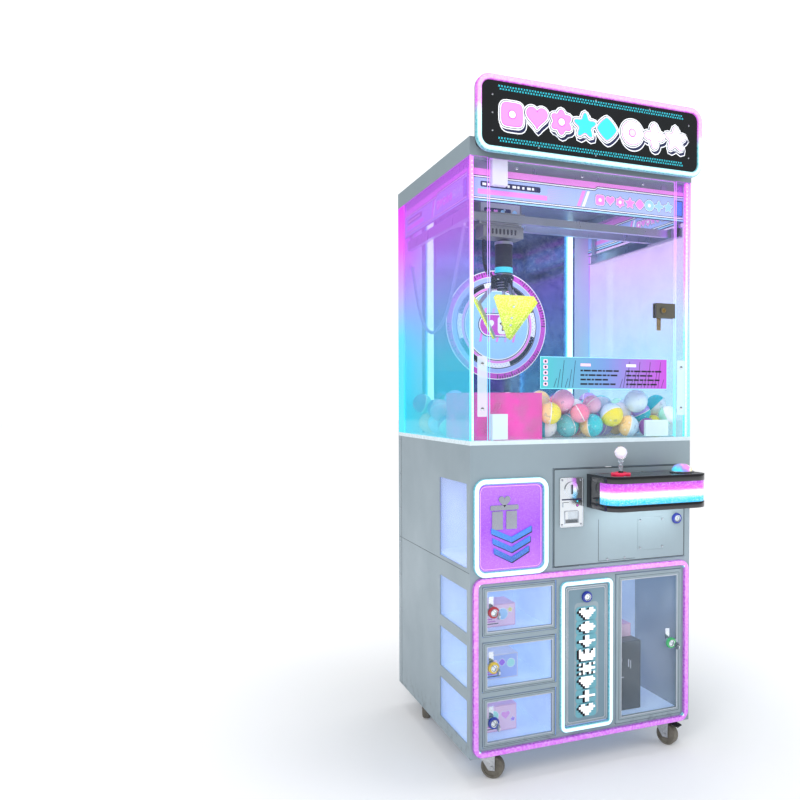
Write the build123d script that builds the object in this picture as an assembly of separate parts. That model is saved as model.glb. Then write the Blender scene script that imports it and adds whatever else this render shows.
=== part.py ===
"""Claw crane machine: lockers and prize bin below, a glass cabin with a travelling claw above.

Millimetres. X runs across the front, Y to the back, Z up. The origin is on the floor, under the
middle of the whole machine. Depths "d" are measured backwards from the cabinet's front face.
"""
import os
import random
from math import atan2, cos, hypot, pi, radians, sin, sqrt, tan

from build123d import *

os.makedirs("parts", exist_ok=True)

# Overall
overall_height = 1950
cabinet_width = 730
cabinet_depth = 690
deck_top = 964            # floor of the glass cabin
glass_top = 1743
roof_top = 1794
box_reach = 138           # how far the control box stands in front of the cabinet
rail_tube = 30            # tubes of the base frame
caster_plate_gap = 16     # from a wheel's top to the underside of the base frame
rail_tube_height = 16

# Sheet, glass and fits
sheet = 3
deck_thickness = 12
glass = 5
pane = 3
door_gap = 2              # visible gap round every door
contact_gap = 0.3         # between pieces that move past each other
running = 0.05            # radial clearance of a pin in its hole

# Fascia layout
left_margin = 38
right_margin = 32
centre_half = 72
column_gap = 28           # from the centre door to the doors beside it
locker_bottom = 110
locker_top = 557
locker_spacing = 18
locker_count = 3
lower_zone_top = 584      # top of the lower light frame
light_width = 16
light_height = 10
upper_zone_gap = 12
control_left = -109
control_right_margin = 21
control_drop = 85         # from the deck down to the top of the control door
flap_left_margin = 27
flap_right = -144
flap_drop = 123
flap_thickness = 5
window_border = 13
left_window_from = 25     # depth range of the windows in the left side panel
left_window_to = 251
bin_window_drop = 119

# Doors and locks
door_thickness = 12
door_proud = 2
hinge_pin_radius = 2.5
hinge_pin_reach = 6
glass_pin_radius = 4
lug_height = 8
lock_ring_radius = 13
lock_plug_radius = 7
lock_plug_length = 24
cam_thickness = 2
cam_length = 40
cam_gap = 4               # from the back of a door to its lock cam

# Inside the cabinet
liner_wall = 2
liner_back = 302
liner_foot_rear = 244
bin_back = 292

# Controls
box_left = 2
box_right = 335
box_height = 98
box_top_drop = 17         # from the top of the control door to the top of the box
box_corner = 45
stick_x = 73
stick_depth = -70
stick_tilt = 12
stick_pivot_drop = 27     # pivot below the box's top face
stick_radius = 5
stick_ball_radius = 19.5
stick_ball_rise = 64
stick_hole_radius = 19    # clears the stick at both tilts at once
stick_lug_thickness = 5
stick_lug_foot = 12
yoke_outer = 44
yoke_inner = 30
yoke_thickness = 8
button_x = 284
button_radius = 30
button_rise = 22
coin_left = -90
coin_width = 76
coin_height = 143
coin_top_drop = 26
coin_depth = 55

# Cabin
door_half = 305
strip_inner = 311
strip_gap = 8             # from the mirror to the panel behind it
column_width = 66
column_depth = 63
top_beam = 24
header_drop = 116
header_depth = 30         # the header stands behind the swing of the glass door
mirror_half = 250
chute_left = -330
chute_right = -125
chute_front = 40
chute_depth = 250
chute_height = 134
chute_wall = 4

# Gantry and claw
rail_height = 32
rail_width = 14
rail_wall = 2.5
rail_drop = 161           # from the top of the glass to the underside of a gantry rail
rail_end_gap = 24
roller_width = 9
bridge_home = 130
bridge_half_spread = 50
bridge_travel = 340
beam_width = 16
beam_height = 22
trolley_x = -234
trolley_width = 134
trolley_half_depth = 38
trolley_height = 72
motor_box_height = 32
claw_x = -207
drum_radius = 14
cord_radius = 1.2
solenoid_radius = 26
solenoid_gap = 4          # from the trolley to the raised claw
solenoid_height = 105
hub_radius = 20
hub_drop = 40
arm_pivot_radius = 32
arm_pivot_drop = 28       # below the solenoid
arm_thickness = 6
arm_pin_radius = 2.5
elbow_reach = 40
elbow_drop = 50
tip_inset = 6
tip_drop = 152
fin_width = 130
fin_height = 128
fin_thickness = 3
plunger_radius = 5
arm_angles = {"front": -90, "left": 150, "right": 30}

# Sign
sign_bottom = 1744
sign_reach = 55
sign_tube = 16
sign_corner = 40

# Casters
wheel_radius = 33
wheel_width = 24
wheel_trail = 28
wheel_axle_radius = 5
kingpin_radius = 5
caster_inset = 65         # from the cabinet's side to a caster's swivel
caster_front = 62
caster_rear_inset = 130
fork_wall = 2.5
brake_corner = "front_right"
park_angles = {"front_left": -38, "front_right": -64, "rear_left": -118, "rear_right": 150}

# Prize balls
ball_radii = (29, 33, 36)
ball_count = 118
heap_seed = 11

# Cord routes, chosen by hand: x, depth and height of each point
festoon_radius = 5
festoon_route = [(-336, 118, 1579), (-336, 142, 1530), (-336, 182, 1460), (-336, 228, 1383), (-336, 300, 1312),
                 (-336, 398, 1284), (-336, 490, 1318), (-336, 552, 1394), (-336, 590, 1478), (-336, 618, 1530)]
coil_cord_radius = 7
coil_route = [(-270, 130, 1545), (-270, 130, 1509), (-268, 130, 1473), (-259, 130, 1448), (-243, 130, 1437)]

# Worked out from the sizes above
half_width = cabinet_width / 2
base_height = 2 * wheel_radius + caster_plate_gap
caster_x = half_width - caster_inset
caster_rear = cabinet_depth - caster_rear_inset
front_y = -(cabinet_depth - box_reach) / 2
inner_half = half_width - sheet
deck_bottom = deck_top - deck_thickness
hinge_depth = door_thickness / 2 - door_proud
door_back = door_thickness - door_proud
lug_depth = door_thickness
liner_front = lug_depth + 2
locker_height = (locker_top - locker_bottom - (locker_count - 1) * locker_spacing) / locker_count
locker_left = -half_width + left_margin
locker_right = -centre_half - column_gap
tall_left = centre_half + column_gap
tall_right = half_width - right_margin
control_right = half_width - control_right_margin
control_bottom = lower_zone_top + upper_zone_gap
control_top = deck_top - control_drop
flap_left = -half_width + flap_left_margin
flap_bottom = lower_zone_top + 18
flap_top = deck_top - flap_drop
flap_pivot = flap_top - 7
box_top = control_top - box_top_drop
box_bottom = box_top - box_height
column_front = cabinet_depth - sheet - column_depth
mirror_depth = column_front - strip_gap
header_bottom = glass_top - header_drop
rail_bottom = glass_top - rail_drop
rail_end = column_front - rail_end_gap
chute_back = chute_front + chute_depth
chute_top = deck_top + chute_height
rail_outer = half_width - glass - 2
rail_inner = rail_outer - rail_width
rail_middle = rail_bottom + rail_height / 2
roller_radius = rail_height / 2 - rail_wall - contact_gap
trolley_bottom = rail_bottom - 1
trolley_top = trolley_bottom + trolley_height
motor_box_bottom = trolley_bottom - motor_box_height
solenoid_top = motor_box_bottom - solenoid_gap
solenoid_bottom = solenoid_top - solenoid_height
arm_pivot_z = solenoid_bottom - arm_pivot_drop
drum_x = claw_x - drum_radius - cord_radius
drum_z = (trolley_bottom + trolley_top) / 2 + 8
plate_top = base_height - sheet
lockers = ["bottom", "middle", "top"]


def slab(x, d, z):
    """Box between pairs of limits, across, in depth behind the front face, and in height."""
    size = Box(x[1] - x[0], d[1] - d[0], z[1] - z[0])
    return Pos((x[0] + x[1]) / 2, front_y + (d[0] + d[1]) / 2, (z[0] + z[1]) / 2) * size


def place(x, d, z):
    return Vector(x, front_y + d, z)


def bar(start, end, radius):
    """Round bar between two points given as x, depth and height."""
    a, b = place(*start), place(*end)
    length = (b - a).length
    align = (Align.CENTER, Align.CENTER, Align.MIN)
    return Plane(origin=a, z_dir=b - a) * Cylinder(radius, length, align=align)


def panel(x, d, z, corner):
    """Upright plate facing the front, with rounded corners."""
    plane = Plane(origin=((x[0] + x[1]) / 2, front_y + d[0], (z[0] + z[1]) / 2), x_dir=(1, 0, 0), z_dir=(0, 1, 0))
    outline = plane * RectangleRounded(x[1] - x[0], z[1] - z[0], corner)
    return extrude(outline, amount=d[1] - d[0])


def cord_gland(end, before_end, length, radius):
    """Sleeve that carries on along a cord's last run from the cord's end."""
    reach = (Vector(*end) - Vector(*before_end)).normalized() * length
    return bar(end, (end[0] + reach.X, end[1] + reach.Y, end[2] + reach.Z), radius)


def grown(limits, margin):
    return (limits[0] - margin, limits[1] + margin)


def mirrored(shape):
    return mirror(shape, about=Plane.YZ)


def light_frame(x, z, width, corner, back, height):
    """Flat-backed light tube round an opening, its front edges rounded."""
    ring = panel(x, (back - height, back), z, corner)
    ring -= panel(grown(x, -width), (back - height - 1, back + 1), grown(z, -width), corner - width)
    edges = ring.faces().sort_by(Axis.Y)[0].edges()
    return fillet(edges, min(height, width) * 0.42)


def save(name, *solids):
    shape = solids[0] if len(solids) == 1 else Compound(children=list(solids))
    export_step(shape, f"parts/{name}.step")


# Cabinet

def caster_places():
    return {f"{end}_{side}": (sign * caster_x, depth)
            for end, depth in (("front", caster_front), ("rear", caster_rear))
            for side, sign in (("left", -1), ("right", 1))}


def base_frame():
    """Ladder of tubes with a sheet across it at each row of casters and under the liners."""
    wall_inset = sheet + contact_gap
    outer_x, inner_x = inner_half - contact_gap, inner_half - rail_tube
    height = (base_height, base_height + rail_tube_height)
    side = slab((-outer_x, -inner_x), (wall_inset, cabinet_depth - wall_inset), height)
    front = slab((-inner_x, inner_x), (wall_inset, rail_tube), height)
    rear = slab((-inner_x, inner_x), (cabinet_depth - rail_tube, cabinet_depth - wall_inset), height)
    pieces = [side, mirrored(side), front, rear]
    for depth in (caster_front, liner_foot_rear, caster_rear):
        low = max(depth - 38, rail_tube)
        pieces.append(slab((-inner_x, inner_x), (low, depth + 38), (base_height, base_height + sheet)))
    for x, depth in caster_places().values():
        plate = slab((x - 34, x + 34), (depth - 30, depth + 30), (plate_top, base_height))
        plate += bar((x, depth, plate_top), (x, depth, wheel_radius * 2 + 2), kingpin_radius)
        pieces.append(plate)
    save("base_frame", *pieces)


def locker_rows():
    rows = {}
    for index, name in enumerate(lockers):
        low = locker_bottom + index * (locker_height + locker_spacing)
        rows[name] = (low, low + locker_height)
    return rows


def side_windows():
    """Heights of the windows in the left side panel: the prize bin's and one for each locker."""
    windows = [(flap_bottom + 7, deck_top - bin_window_drop)]
    return windows + [grown(row, -8) for row in locker_rows().values()]


def side_panels():
    depth = (sheet, cabinet_depth - sheet)
    height = (base_height, deck_bottom)
    left = slab((-half_width, -inner_half), depth, height)
    for window in side_windows():
        left -= slab((-half_width - 1, 1 - inner_half), (left_window_from, left_window_to), window)
    save("side_panel_left", left)
    right = slab((inner_half, half_width), depth, height)
    for index in range(8):
        slot = deck_bottom - 120 - index * 16
        right -= slab((inner_half - 1, half_width + 1), (cabinet_depth - 230, cabinet_depth - 90), (slot, slot + 5))
    save("side_panel_right", right)


def lug(x, z, depth=lug_depth):
    return slab(x, (0, depth), z)


def fascia():
    plate = slab((-half_width, half_width), (0, sheet), (base_height, deck_bottom))
    openings = [((locker_left, locker_right), row) for row in locker_rows().values()]
    openings += [((tall_left, tall_right), (locker_bottom, locker_top)),
                 ((-centre_half, centre_half), (locker_bottom + 18, locker_top - 20)),
                 ((control_left, control_right), (control_bottom, control_top)),
                 ((flap_left, flap_right), (flap_bottom, flap_top))]
    for x, z in openings:
        plate -= slab(grown(x, door_gap), (-1, sheet + 1), grown(z, door_gap))
    hinge_lines = [(locker_right - door_thickness / 2, row) for row in locker_rows().values()]
    hinge_lines += [(tall_left + door_thickness / 2, (locker_bottom, locker_top)),
                    (control_left + door_thickness / 2, (control_bottom, control_top))]
    hole = hinge_pin_radius + running
    for x, row in hinge_lines:
        for edge, way in ((row[0] - door_gap, -1), (row[1] + door_gap, 1)):
            z = sorted((edge, edge + way * lug_height))
            block = lug((x - 8, x + 8), z)
            plate += block
    for x, row in hinge_lines:
        for edge, way in ((row[0] - door_gap, -1), (row[1] + door_gap, 1)):
            z = sorted((edge - way, edge + way * (lug_height - 1)))
            plate -= bar((x, hinge_depth, z[0]), (x, hinge_depth, z[1]), hole)
    sideways = [((flap_left, flap_right), flap_pivot, flap_thickness / 2 + contact_gap),
                ((-centre_half, centre_half), locker_bottom + 18 + door_thickness / 2, hinge_depth)]
    for x, z, depth in sideways:
        for edge, way in ((x[0] - door_gap, -1), (x[1] + door_gap, 1)):
            plate += lug(sorted((edge, edge + way * lug_height)), (z - 8, z + 8))
            span = sorted((edge - way, edge + way * (lug_height - 1)))
            plate -= bar((span[0], depth, z), (span[1], depth, z), hole)
    save("front_fascia", plate)


def rear_frame():
    back = slab((-half_width, half_width), (cabinet_depth - sheet, cabinet_depth), (base_height, glass_top))
    for index in range(10):
        x = -90 + index * 20
        back -= slab((x - 4, x + 4), (cabinet_depth - sheet - 1, cabinet_depth + 1), (700, 790))
    column = slab((half_width - column_width, half_width), (column_front, cabinet_depth - sheet),
                  (deck_top, glass_top))
    column -= slab((half_width - column_width + sheet, half_width - sheet),
                   (column_front + sheet, cabinet_depth - sheet + 1), (deck_top - 1, glass_top + 1))
    gland = cord_gland(festoon_route[-1], festoon_route[-2], 14, festoon_radius + 4)
    save("rear_frame", back + column + mirrored(column) + gland)


def deck():
    board = slab((-half_width, half_width), (0, cabinet_depth - sheet), (deck_bottom, deck_top))
    board -= slab((chute_left + chute_wall, chute_right - chute_wall),
                  (chute_front + chute_wall, chute_back - chute_wall), (deck_bottom - 1, deck_top + 1))
    x, depth = glass_pivot()
    board -= bar((x, depth, deck_bottom + 2), (x, depth, deck_top + 1), glass_pin_radius + running)
    save("cabin_deck", board)


def liners():
    """Locker boxes, centre and tall compartments, and the bin that catches a dropped prize."""
    inner = (-inner_half + pane + 2 * contact_gap, inner_half - contact_gap)
    depth = (liner_front, liner_back)
    floor_z = locker_bottom - door_gap - lug_height - 1
    roof_z = lower_zone_top + 6
    height = (floor_z, roof_z)
    boxes = slab(inner, (liner_back - liner_wall, liner_back), height)
    boxes += slab(inner, depth, (floor_z, floor_z + liner_wall))
    boxes += slab(inner, depth, (roof_z - liner_wall, roof_z))
    boxes += slab((locker_right + 3, locker_right + 3 + liner_wall), depth, height)
    boxes += slab((tall_left - 3 - liner_wall, tall_left - 3), depth, height)
    for name in lockers[:-1]:
        shelf = locker_rows()[name][1] + locker_spacing / 2
        boxes += slab((inner[0], locker_right + 4), depth, (shelf - liner_wall / 2, shelf + liner_wall / 2))
    feet = [slab((-18, 18), grown((foot, foot), 18), (base_height + sheet, floor_z))
            for foot in (caster_front, liner_foot_rear)]
    wall = control_left - 10
    top = deck_bottom - contact_gap
    low = roof_z + contact_gap
    tray = slab((wall, wall + liner_wall), (liner_front, bin_back), (low, top))
    tray += slab((inner[0], wall + liner_wall), (bin_back - liner_wall, bin_back), (low, top))
    slope = Plane(origin=(inner[0], front_y, 0), x_dir=(0, 1, 0), z_dir=(1, 0, 0))
    profile = Polyline((liner_front, low), (bin_back, low + 28), (bin_back, low + 28 + liner_wall),
                       (liner_front, low + liner_wall), close=True)
    tray += extrude(slope * make_face(profile), amount=wall + liner_wall - inner[0])
    save("inner_liners", boxes, tray, *feet)


def electronics():
    """Power supply, control board and coin tray on the roof of the locker liners."""
    base = lower_zone_top + 6
    supply = slab((110, 310), (120, 230), (base, base + 52))
    supply -= bar((270, 119, base + 26), (270, 128, base + 26), 19)
    board = slab((60, 300), (310, 313), (base, base + 180)) + slab((60, 300), (300, 330), (base, base + 4))
    for x in (100, 160, 220):
        board += slab((x, x + 34), (296, 311), (base + 60, base + 92))
    tray = slab((coin_left, coin_left + coin_width), (liner_front + 6, 130), (base, base + 60))
    tray -= slab((coin_left + 2, coin_left + coin_width - 2), (liner_front + 8, 128), (base + 2, base + 61))
    save("electronics", supply, board, tray)


def lights():
    """Every light tube: the frames round the doors, the sign's border and the cabin's strips."""
    lower = light_frame((-half_width + 7, half_width - 7), (base_height + 2, lower_zone_top), light_width, 30, 0,
                        light_height)
    prize_x = (flap_left - door_gap - light_width + 1, flap_right + door_gap + light_width - 1)
    prize_z = (lower_zone_top + 1, flap_top + door_gap + light_width)
    prize = light_frame(prize_x, prize_z, light_width - 1, 34, 0, light_height)
    centre_x = grown((-centre_half, centre_half), door_gap + 13)
    centre_z = grown((locker_bottom + 18, locker_top - 20), door_gap + 13)
    centre = light_frame(centre_x, centre_z, 13, 19, 0, light_height)
    sign = light_frame((-half_width, half_width), (sign_bottom, overall_height), sign_tube, sign_corner,
                       sign_tube - sign_reach, sign_tube)
    corner = slab((-half_width + glass + 1, -half_width + glass + 9), (glass + 3, glass + 13),
                  (deck_top + contact_gap, glass_top - contact_gap))
    strip = slab((-mirror_half - 34, -mirror_half - 12), (mirror_depth - 6, column_front),
                 (deck_top + contact_gap, glass_top - contact_gap))
    save("light_tubes", lower, prize, centre, sign, corner, mirrored(corner), strip, mirrored(strip))


# Glass cabin


def glass_pivot():
    return -door_half + 10, glass + 5.5


def cabin_glass():
    height = (deck_top, glass_top)
    side = slab((-half_width, -half_width + glass), (0, column_front), height)
    strip = slab((-half_width + glass, -strip_inner), (0, glass), height)
    panes = [slab((-inner_half + contact_gap, -inner_half + contact_gap + pane),
                  grown((left_window_from, left_window_to), 3), grown(window, 3)) for window in side_windows()]
    save("cabin_glass", side, mirrored(side), strip, mirrored(strip), *panes)


def mirror_panel():
    save("mirror_panel", slab((-mirror_half, mirror_half), (mirror_depth, mirror_depth + 4), (deck_top, glass_top)),
         slab((-half_width + column_width, half_width - column_width), (column_front, column_front + 2),
              (deck_top, glass_top)))


def header_boards():
    height = (header_bottom, glass_top - top_beam)
    edge = half_width - glass - 1
    front = slab((-edge, edge), (header_depth, header_depth + 2), height)
    side = slab((-edge, -edge + 2), (header_depth + 2, column_front - 1), height)
    save("header_boards", front, side, mirrored(side))


def roof():
    wall = sheet
    depth = (0, cabinet_depth)
    shell = slab((-half_width, half_width), depth, (glass_top, roof_top))
    shell -= slab((-half_width + wall, half_width - wall), grown(depth, -wall), (glass_top + wall, roof_top - wall))
    beam = (glass_top - top_beam, glass_top)
    edge = half_width - glass - 2
    shell += slab((-edge, edge), (header_depth, header_depth + top_beam), beam)
    for side in (-1, 1):
        shell += slab(sorted((side * edge, side * (edge - top_beam))), (header_depth, column_front), beam)
    x, depth = glass_pivot()
    shell += slab((x - 14, x + 14), (wall, 26), (glass_top, glass_top + 16))
    shell -= bar((x, depth, glass_top - 1), (x, depth, glass_top + 14), glass_pin_radius + running)
    save("roof_cover", shell)


def sign():
    inset = sign_tube
    x = (-half_width + inset, half_width - inset)
    z = (sign_bottom + inset, overall_height - inset)
    front = sign_tube - sign_reach
    housing = panel(x, (front, 0), z, sign_corner - inset)
    housing -= panel(grown(x, -sheet), (front + sheet, -sheet), grown(z, -sheet), sign_corner - inset - sheet)
    housing += panel((-half_width, half_width), (front, front + sheet), (sign_bottom, overall_height), sign_corner)
    save("sign_box", housing)
    face = panel(grown(x, -contact_gap), (front - 10, front), grown(z, -contact_gap), sign_corner - inset)
    save("sign_face", face)


def chute():
    outer = slab((chute_left, chute_right), (chute_front, chute_back), (deck_top, chute_top))
    inner = slab((chute_left + chute_wall, chute_right - chute_wall),
                 (chute_front + chute_wall, chute_back - chute_wall), (deck_top - 1, chute_top + 1))
    save("chute_box", outer - inner)


def rest_height(x, d, radius, heap):
    """Height at which a ball let down at this place comes to rest on the deck or the heap."""
    height = deck_top + radius + contact_gap
    for bx, bd, bz, br in heap:
        reach = radius + br + contact_gap
        offset = hypot(x - bx, d - bd)
        if offset < reach:
            height = max(height, bz + sqrt(reach ** 2 - offset ** 2))
    return height


def clear_of_chute(x, d, radius):
    dx = max(chute_left - x, 0, x - chute_right)
    dd = max(chute_front - d, 0, d - chute_back)
    return hypot(dx, dd) > radius + 1


def prize_balls():
    """Balls let down one by one, each at the lowest of many places tried."""
    dice = random.Random(heap_seed)
    heap = []
    for index in range(ball_count):
        radius = ball_radii[index % len(ball_radii)]
        across = half_width - glass - radius - 12
        depths = (header_depth + radius - 6, mirror_depth - radius - 8)
        best = None
        spread = (across, (depths[1] - depths[0]) / 2)
        centre = (0, (depths[0] + depths[1]) / 2)
        for attempt in range(260):
            if best and attempt > 160:
                centre, spread = best[1:3], (7, 7)
            x = min(max(centre[0] + dice.uniform(-1, 1) * spread[0], -across), across)
            d = min(max(centre[1] + dice.uniform(-1, 1) * spread[1], depths[0]), depths[1])
            if not clear_of_chute(x, d, radius):
                continue
            height = rest_height(x, d, radius, heap)
            if best is None or height < best[0]:
                best = (height, x, d)
        heap.append((best[1], best[2], best[0], radius))
    save("prize_balls", *[Pos(*place(x, d, z)) * Sphere(radius) for x, d, z, radius in heap])
    print("heap top", round(max(z + r for x, d, z, r in heap)))


# Doors

def side_leaf(x, z, hinge_left):
    """Flat door with a rounded hinge edge and a pin standing out above and below."""
    radius = door_thickness / 2
    hinge_x = x[0] + radius if hinge_left else x[1] - radius
    flat = (hinge_x, x[1]) if hinge_left else (x[0], hinge_x)
    leaf = slab(flat, (-door_proud, door_back), z)
    leaf += bar((hinge_x, hinge_depth, z[0]), (hinge_x, hinge_depth, z[1]), radius)
    reach = door_gap + hinge_pin_reach
    leaf += bar((hinge_x, hinge_depth, z[0] - reach), (hinge_x, hinge_depth, z[1] + reach), hinge_pin_radius)
    return leaf


def window_cut(x, z):
    hole = slab(x, (-door_proud - 1, door_back + 1), z)
    rebate = slab(grown(x, 5), (door_back - pane - 2, door_back + 1), grown(z, 5))
    return hole + rebate


def window_pane(x, z):
    return slab(grown(x, 5 - contact_gap), (door_back - pane - 2, door_back - 2), grown(z, 5 - contact_gap))


def lock_boss(leaf, x, z):
    """Ring on the front of a door that its lock plug turns in."""
    leaf += bar((x, -door_proud - 5, z), (x, door_back, z), lock_ring_radius)
    return leaf - bar((x, -door_proud - 6, z), (x, door_back + 1, z), lock_plug_radius + running)


def lock_plug(x, z, direction, front=-door_proud, back=door_back, length=cam_length, with_key=False):
    """Plug, with or without its key, and a cam behind the door that turns across the door's edge."""
    start = front - 5.5
    cam_front = back + cam_gap
    plug = bar((x, start, z), (x, cam_front + cam_thickness + 3, z), lock_plug_radius)
    dx, dz = direction
    tip = (x + dx * length, z + dz * length)
    width = 7
    across = sorted((x - width * abs(dz), tip[0] + width * abs(dz)))
    upward = sorted((z - width * abs(dx), tip[1] + width * abs(dx)))
    plug += slab(across, (cam_front, cam_front + cam_thickness), upward)
    if not with_key:
        return plug - slab((x - 1.1, x + 1.1), (start - 1, start + 4), (z - 3.5, z + 3.5))
    key = slab((x - 1.1, x + 1.1), (start - 22, start), (z - 3.5, z + 3.5))
    bow = bar((x - 1.3, start - 30, z), (x + 1.3, start - 30, z), 11)
    bow -= bar((x - 2, start - 36, z), (x + 2, start - 36, z), 2.6)
    return plug + key + bow


def locker_doors():
    x = (locker_left, locker_right)
    window_x = grown(x, -window_border)
    for name, row in locker_rows().items():
        window_z = grown(row, -window_border)
        lock_x, lock_z = locker_left + 31, (row[0] + row[1]) / 2 - 2
        leaf = side_leaf(x, row, hinge_left=False) - window_cut(window_x, window_z)
        tab = slab((locker_left + window_border - 6, lock_x), (-door_proud, door_back), (lock_z - 9, lock_z + 9))
        leaf = lock_boss(leaf + tab, lock_x, lock_z)
        sheet_pane = window_pane(window_x, window_z)
        sheet_pane -= slab((locker_left, lock_x), (0, door_back + 1), grown((lock_z - 9, lock_z + 9), contact_gap))
        sheet_pane -= bar((lock_x, 0, lock_z), (lock_x, door_back + 1, lock_z), lock_ring_radius + contact_gap)
        save(f"locker_door_{name}", leaf, sheet_pane)
        save(f"locker_lock_{name}", lock_plug(lock_x, lock_z, (0, 1), with_key=True))


def tall_door():
    x, z = (tall_left, tall_right), (locker_bottom, locker_top)
    window_x = (x[0] + 20, x[1] - 17)
    window_z = grown(z, -19)
    lock_x, lock_z = tall_right - 38, (z[0] + z[1]) / 2 - 2
    leaf = side_leaf(x, z, hinge_left=True) - window_cut(window_x, window_z)
    leaf += slab((lock_x, x[1] - 10), (-door_proud, door_back), (lock_z - 9, lock_z + 9))
    leaf = lock_boss(leaf, lock_x, lock_z)
    sheet_pane = window_pane(window_x, window_z)
    sheet_pane -= slab((lock_x, x[1]), (0, door_back + 1), grown((lock_z - 9, lock_z + 9), contact_gap))
    sheet_pane -= bar((lock_x, 0, lock_z), (lock_x, door_back + 1, lock_z), lock_ring_radius + contact_gap)
    save("tall_door", leaf, sheet_pane)
    save("tall_lock", lock_plug(lock_x, lock_z, (0, 1), with_key=True))


def centre_door():
    """Drop-down door of the middle compartment, hinged along its bottom edge."""
    x, z = (-centre_half, centre_half), (locker_bottom + 18, locker_top - 20)
    radius = door_thickness / 2
    hinge_z = z[0] + radius
    leaf = slab(x, (-door_proud, door_back), (hinge_z, z[1]))
    leaf += bar((x[0], hinge_depth, hinge_z), (x[1], hinge_depth, hinge_z), radius)
    leaf -= slab(grown(x, -8), (sheet - door_proud, door_back + 1), (hinge_z + 14, z[1] - 8))
    reach = door_gap + hinge_pin_reach
    leaf += bar((x[0] - reach, hinge_depth, hinge_z), (x[1] + reach, hinge_depth, hinge_z), hinge_pin_radius)
    lock_z = z[1] - 35
    save("centre_door", lock_boss(leaf, 0, lock_z))
    save("centre_lock", lock_plug(0, lock_z, (1, 0)))


def control_door():
    x, z = (control_left, control_right), (control_bottom, control_top)
    leaf = side_leaf(x, z, hinge_left=True)
    leaf -= slab((x[0] + 14, x[1] - 6), (sheet - door_proud, door_back + 1), grown(z, -6))
    coin_x, coin_z = coin_place()
    leaf -= slab(grown(coin_x, -5), (-door_proud - 1, door_back), grown(coin_z, -5))
    lock_x, lock_z = control_right - 30, box_bottom - 50
    leaf = lock_boss(leaf, lock_x, lock_z)
    save("control_door", leaf)
    save("control_lock", lock_plug(lock_x, lock_z, (0, 1)))


def prize_flap():
    x = (flap_left, flap_right)
    flap = panel(x, (contact_gap, flap_thickness + contact_gap), (flap_bottom, flap_top), 20)
    reach = door_gap + hinge_pin_reach
    depth = flap_thickness / 2 + contact_gap
    flap += bar((x[0] - reach, depth, flap_pivot), (x[1] + reach, depth, flap_pivot), hinge_pin_radius)
    save("prize_flap", flap)


def glass_door():
    x, depth = glass_pivot()
    low, high = deck_top + door_gap + 1, glass_top - door_gap - 1
    lock_x, lock_z = door_half - 46, 1347
    leaf = slab((-door_half, door_half), (0, glass), (low, high))
    leaf -= bar((lock_x, -1, lock_z), (lock_x, glass + 1, lock_z), lock_plug_radius + 1)
    save("glass_door", leaf)
    patches = []
    pin_reach = door_gap + 9
    for end, way in ((low, 1), (high, -1)):
        z = sorted((end, end + way * 71))
        patch = slab((-door_half + 7, -door_half + 52), (-4, 0), z)
        inner = slab((-door_half + 7, -door_half + 52), (glass, glass + 11), z)
        inner += bar((x, depth, end - way * pin_reach), (x, depth, end), glass_pin_radius)
        patches += [patch, inner]
    patches.append(slab((202, 283), (-3, 0), (low + 1, low + 50)))
    patches.append(slab((202, 283), (glass, glass + 3), (low + 1, low + 50)))
    block = slab((lock_x - 25, door_half - 3), (-8, 0), (lock_z - 22, lock_z + 22))
    keeper = slab((lock_x - 25, door_half - 3), (glass, glass + 6), (lock_z - 22, lock_z + 22))
    bore = bar((lock_x, -14, lock_z), (lock_x, 20, lock_z), lock_plug_radius + running)
    patches += [block + bar((lock_x, -11, lock_z), (lock_x, -8, lock_z), 11) - bore, keeper - bore]
    save("glass_door_fittings", *patches)
    save("glass_lock", lock_plug(lock_x, lock_z, (0, -1), front=-6, back=glass + 6, length=58))


# Controls on the control door

def coin_place():
    z = control_top - coin_top_drop
    return (coin_left, coin_left + coin_width), (z - coin_height, z)


def control_box():
    x = (box_left, box_right)
    centre_x, length = (x[0] + x[1]) / 2, x[1] - x[0]
    reach = box_reach - door_proud

    def body(width, depth, corner, z):
        outline = Rectangle(width, depth)
        front = outline.vertices().sort_by(Axis.Y)[:2]
        outline = fillet(front, corner)
        y = front_y - door_proud - depth / 2
        return extrude(Pos(centre_x, y, z[0]) * outline, amount=z[1] - z[0])

    shell = body(length, reach, box_corner, (box_bottom, box_top))
    shell -= body(length - 2 * sheet, reach - sheet, box_corner - sheet, (box_bottom + sheet, box_top - sheet))
    shell += bar((stick_x, stick_depth, box_top), (stick_x, stick_depth, box_top + 6), 27)
    shell += bar((button_x, stick_depth, box_top), (button_x, stick_depth, box_top + 4), button_radius + 6)
    shell -= bar((button_x, stick_depth, box_top - 9), (button_x, stick_depth, box_top + 9), button_radius + 0.1)
    shell -= bar((stick_x, stick_depth, box_top - 9), (stick_x, stick_depth, box_top + 9), stick_hole_radius)
    pivot = box_top - stick_pivot_drop
    save("control_box", shell)
    near = yoke_outer / 2 + contact_gap
    far = near + stick_lug_thickness
    depth = grown((stick_depth, stick_depth), 12)
    top = box_top - sheet
    lugs = []
    for side in (-1, 1):
        upright = slab(sorted((stick_x + side * near, stick_x + side * far)), depth, (pivot - 10, top))
        foot = slab(sorted((stick_x + side * near, stick_x + side * (far + stick_lug_foot))), depth, (top - 3, top))
        ends = [(stick_x + side * reach, stick_depth, pivot) for reach in (near - 1, far + 1)]
        lugs.append(upright + foot - bar(*ends, 3 + running))
    save("stick_bracket", *lugs)


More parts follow.
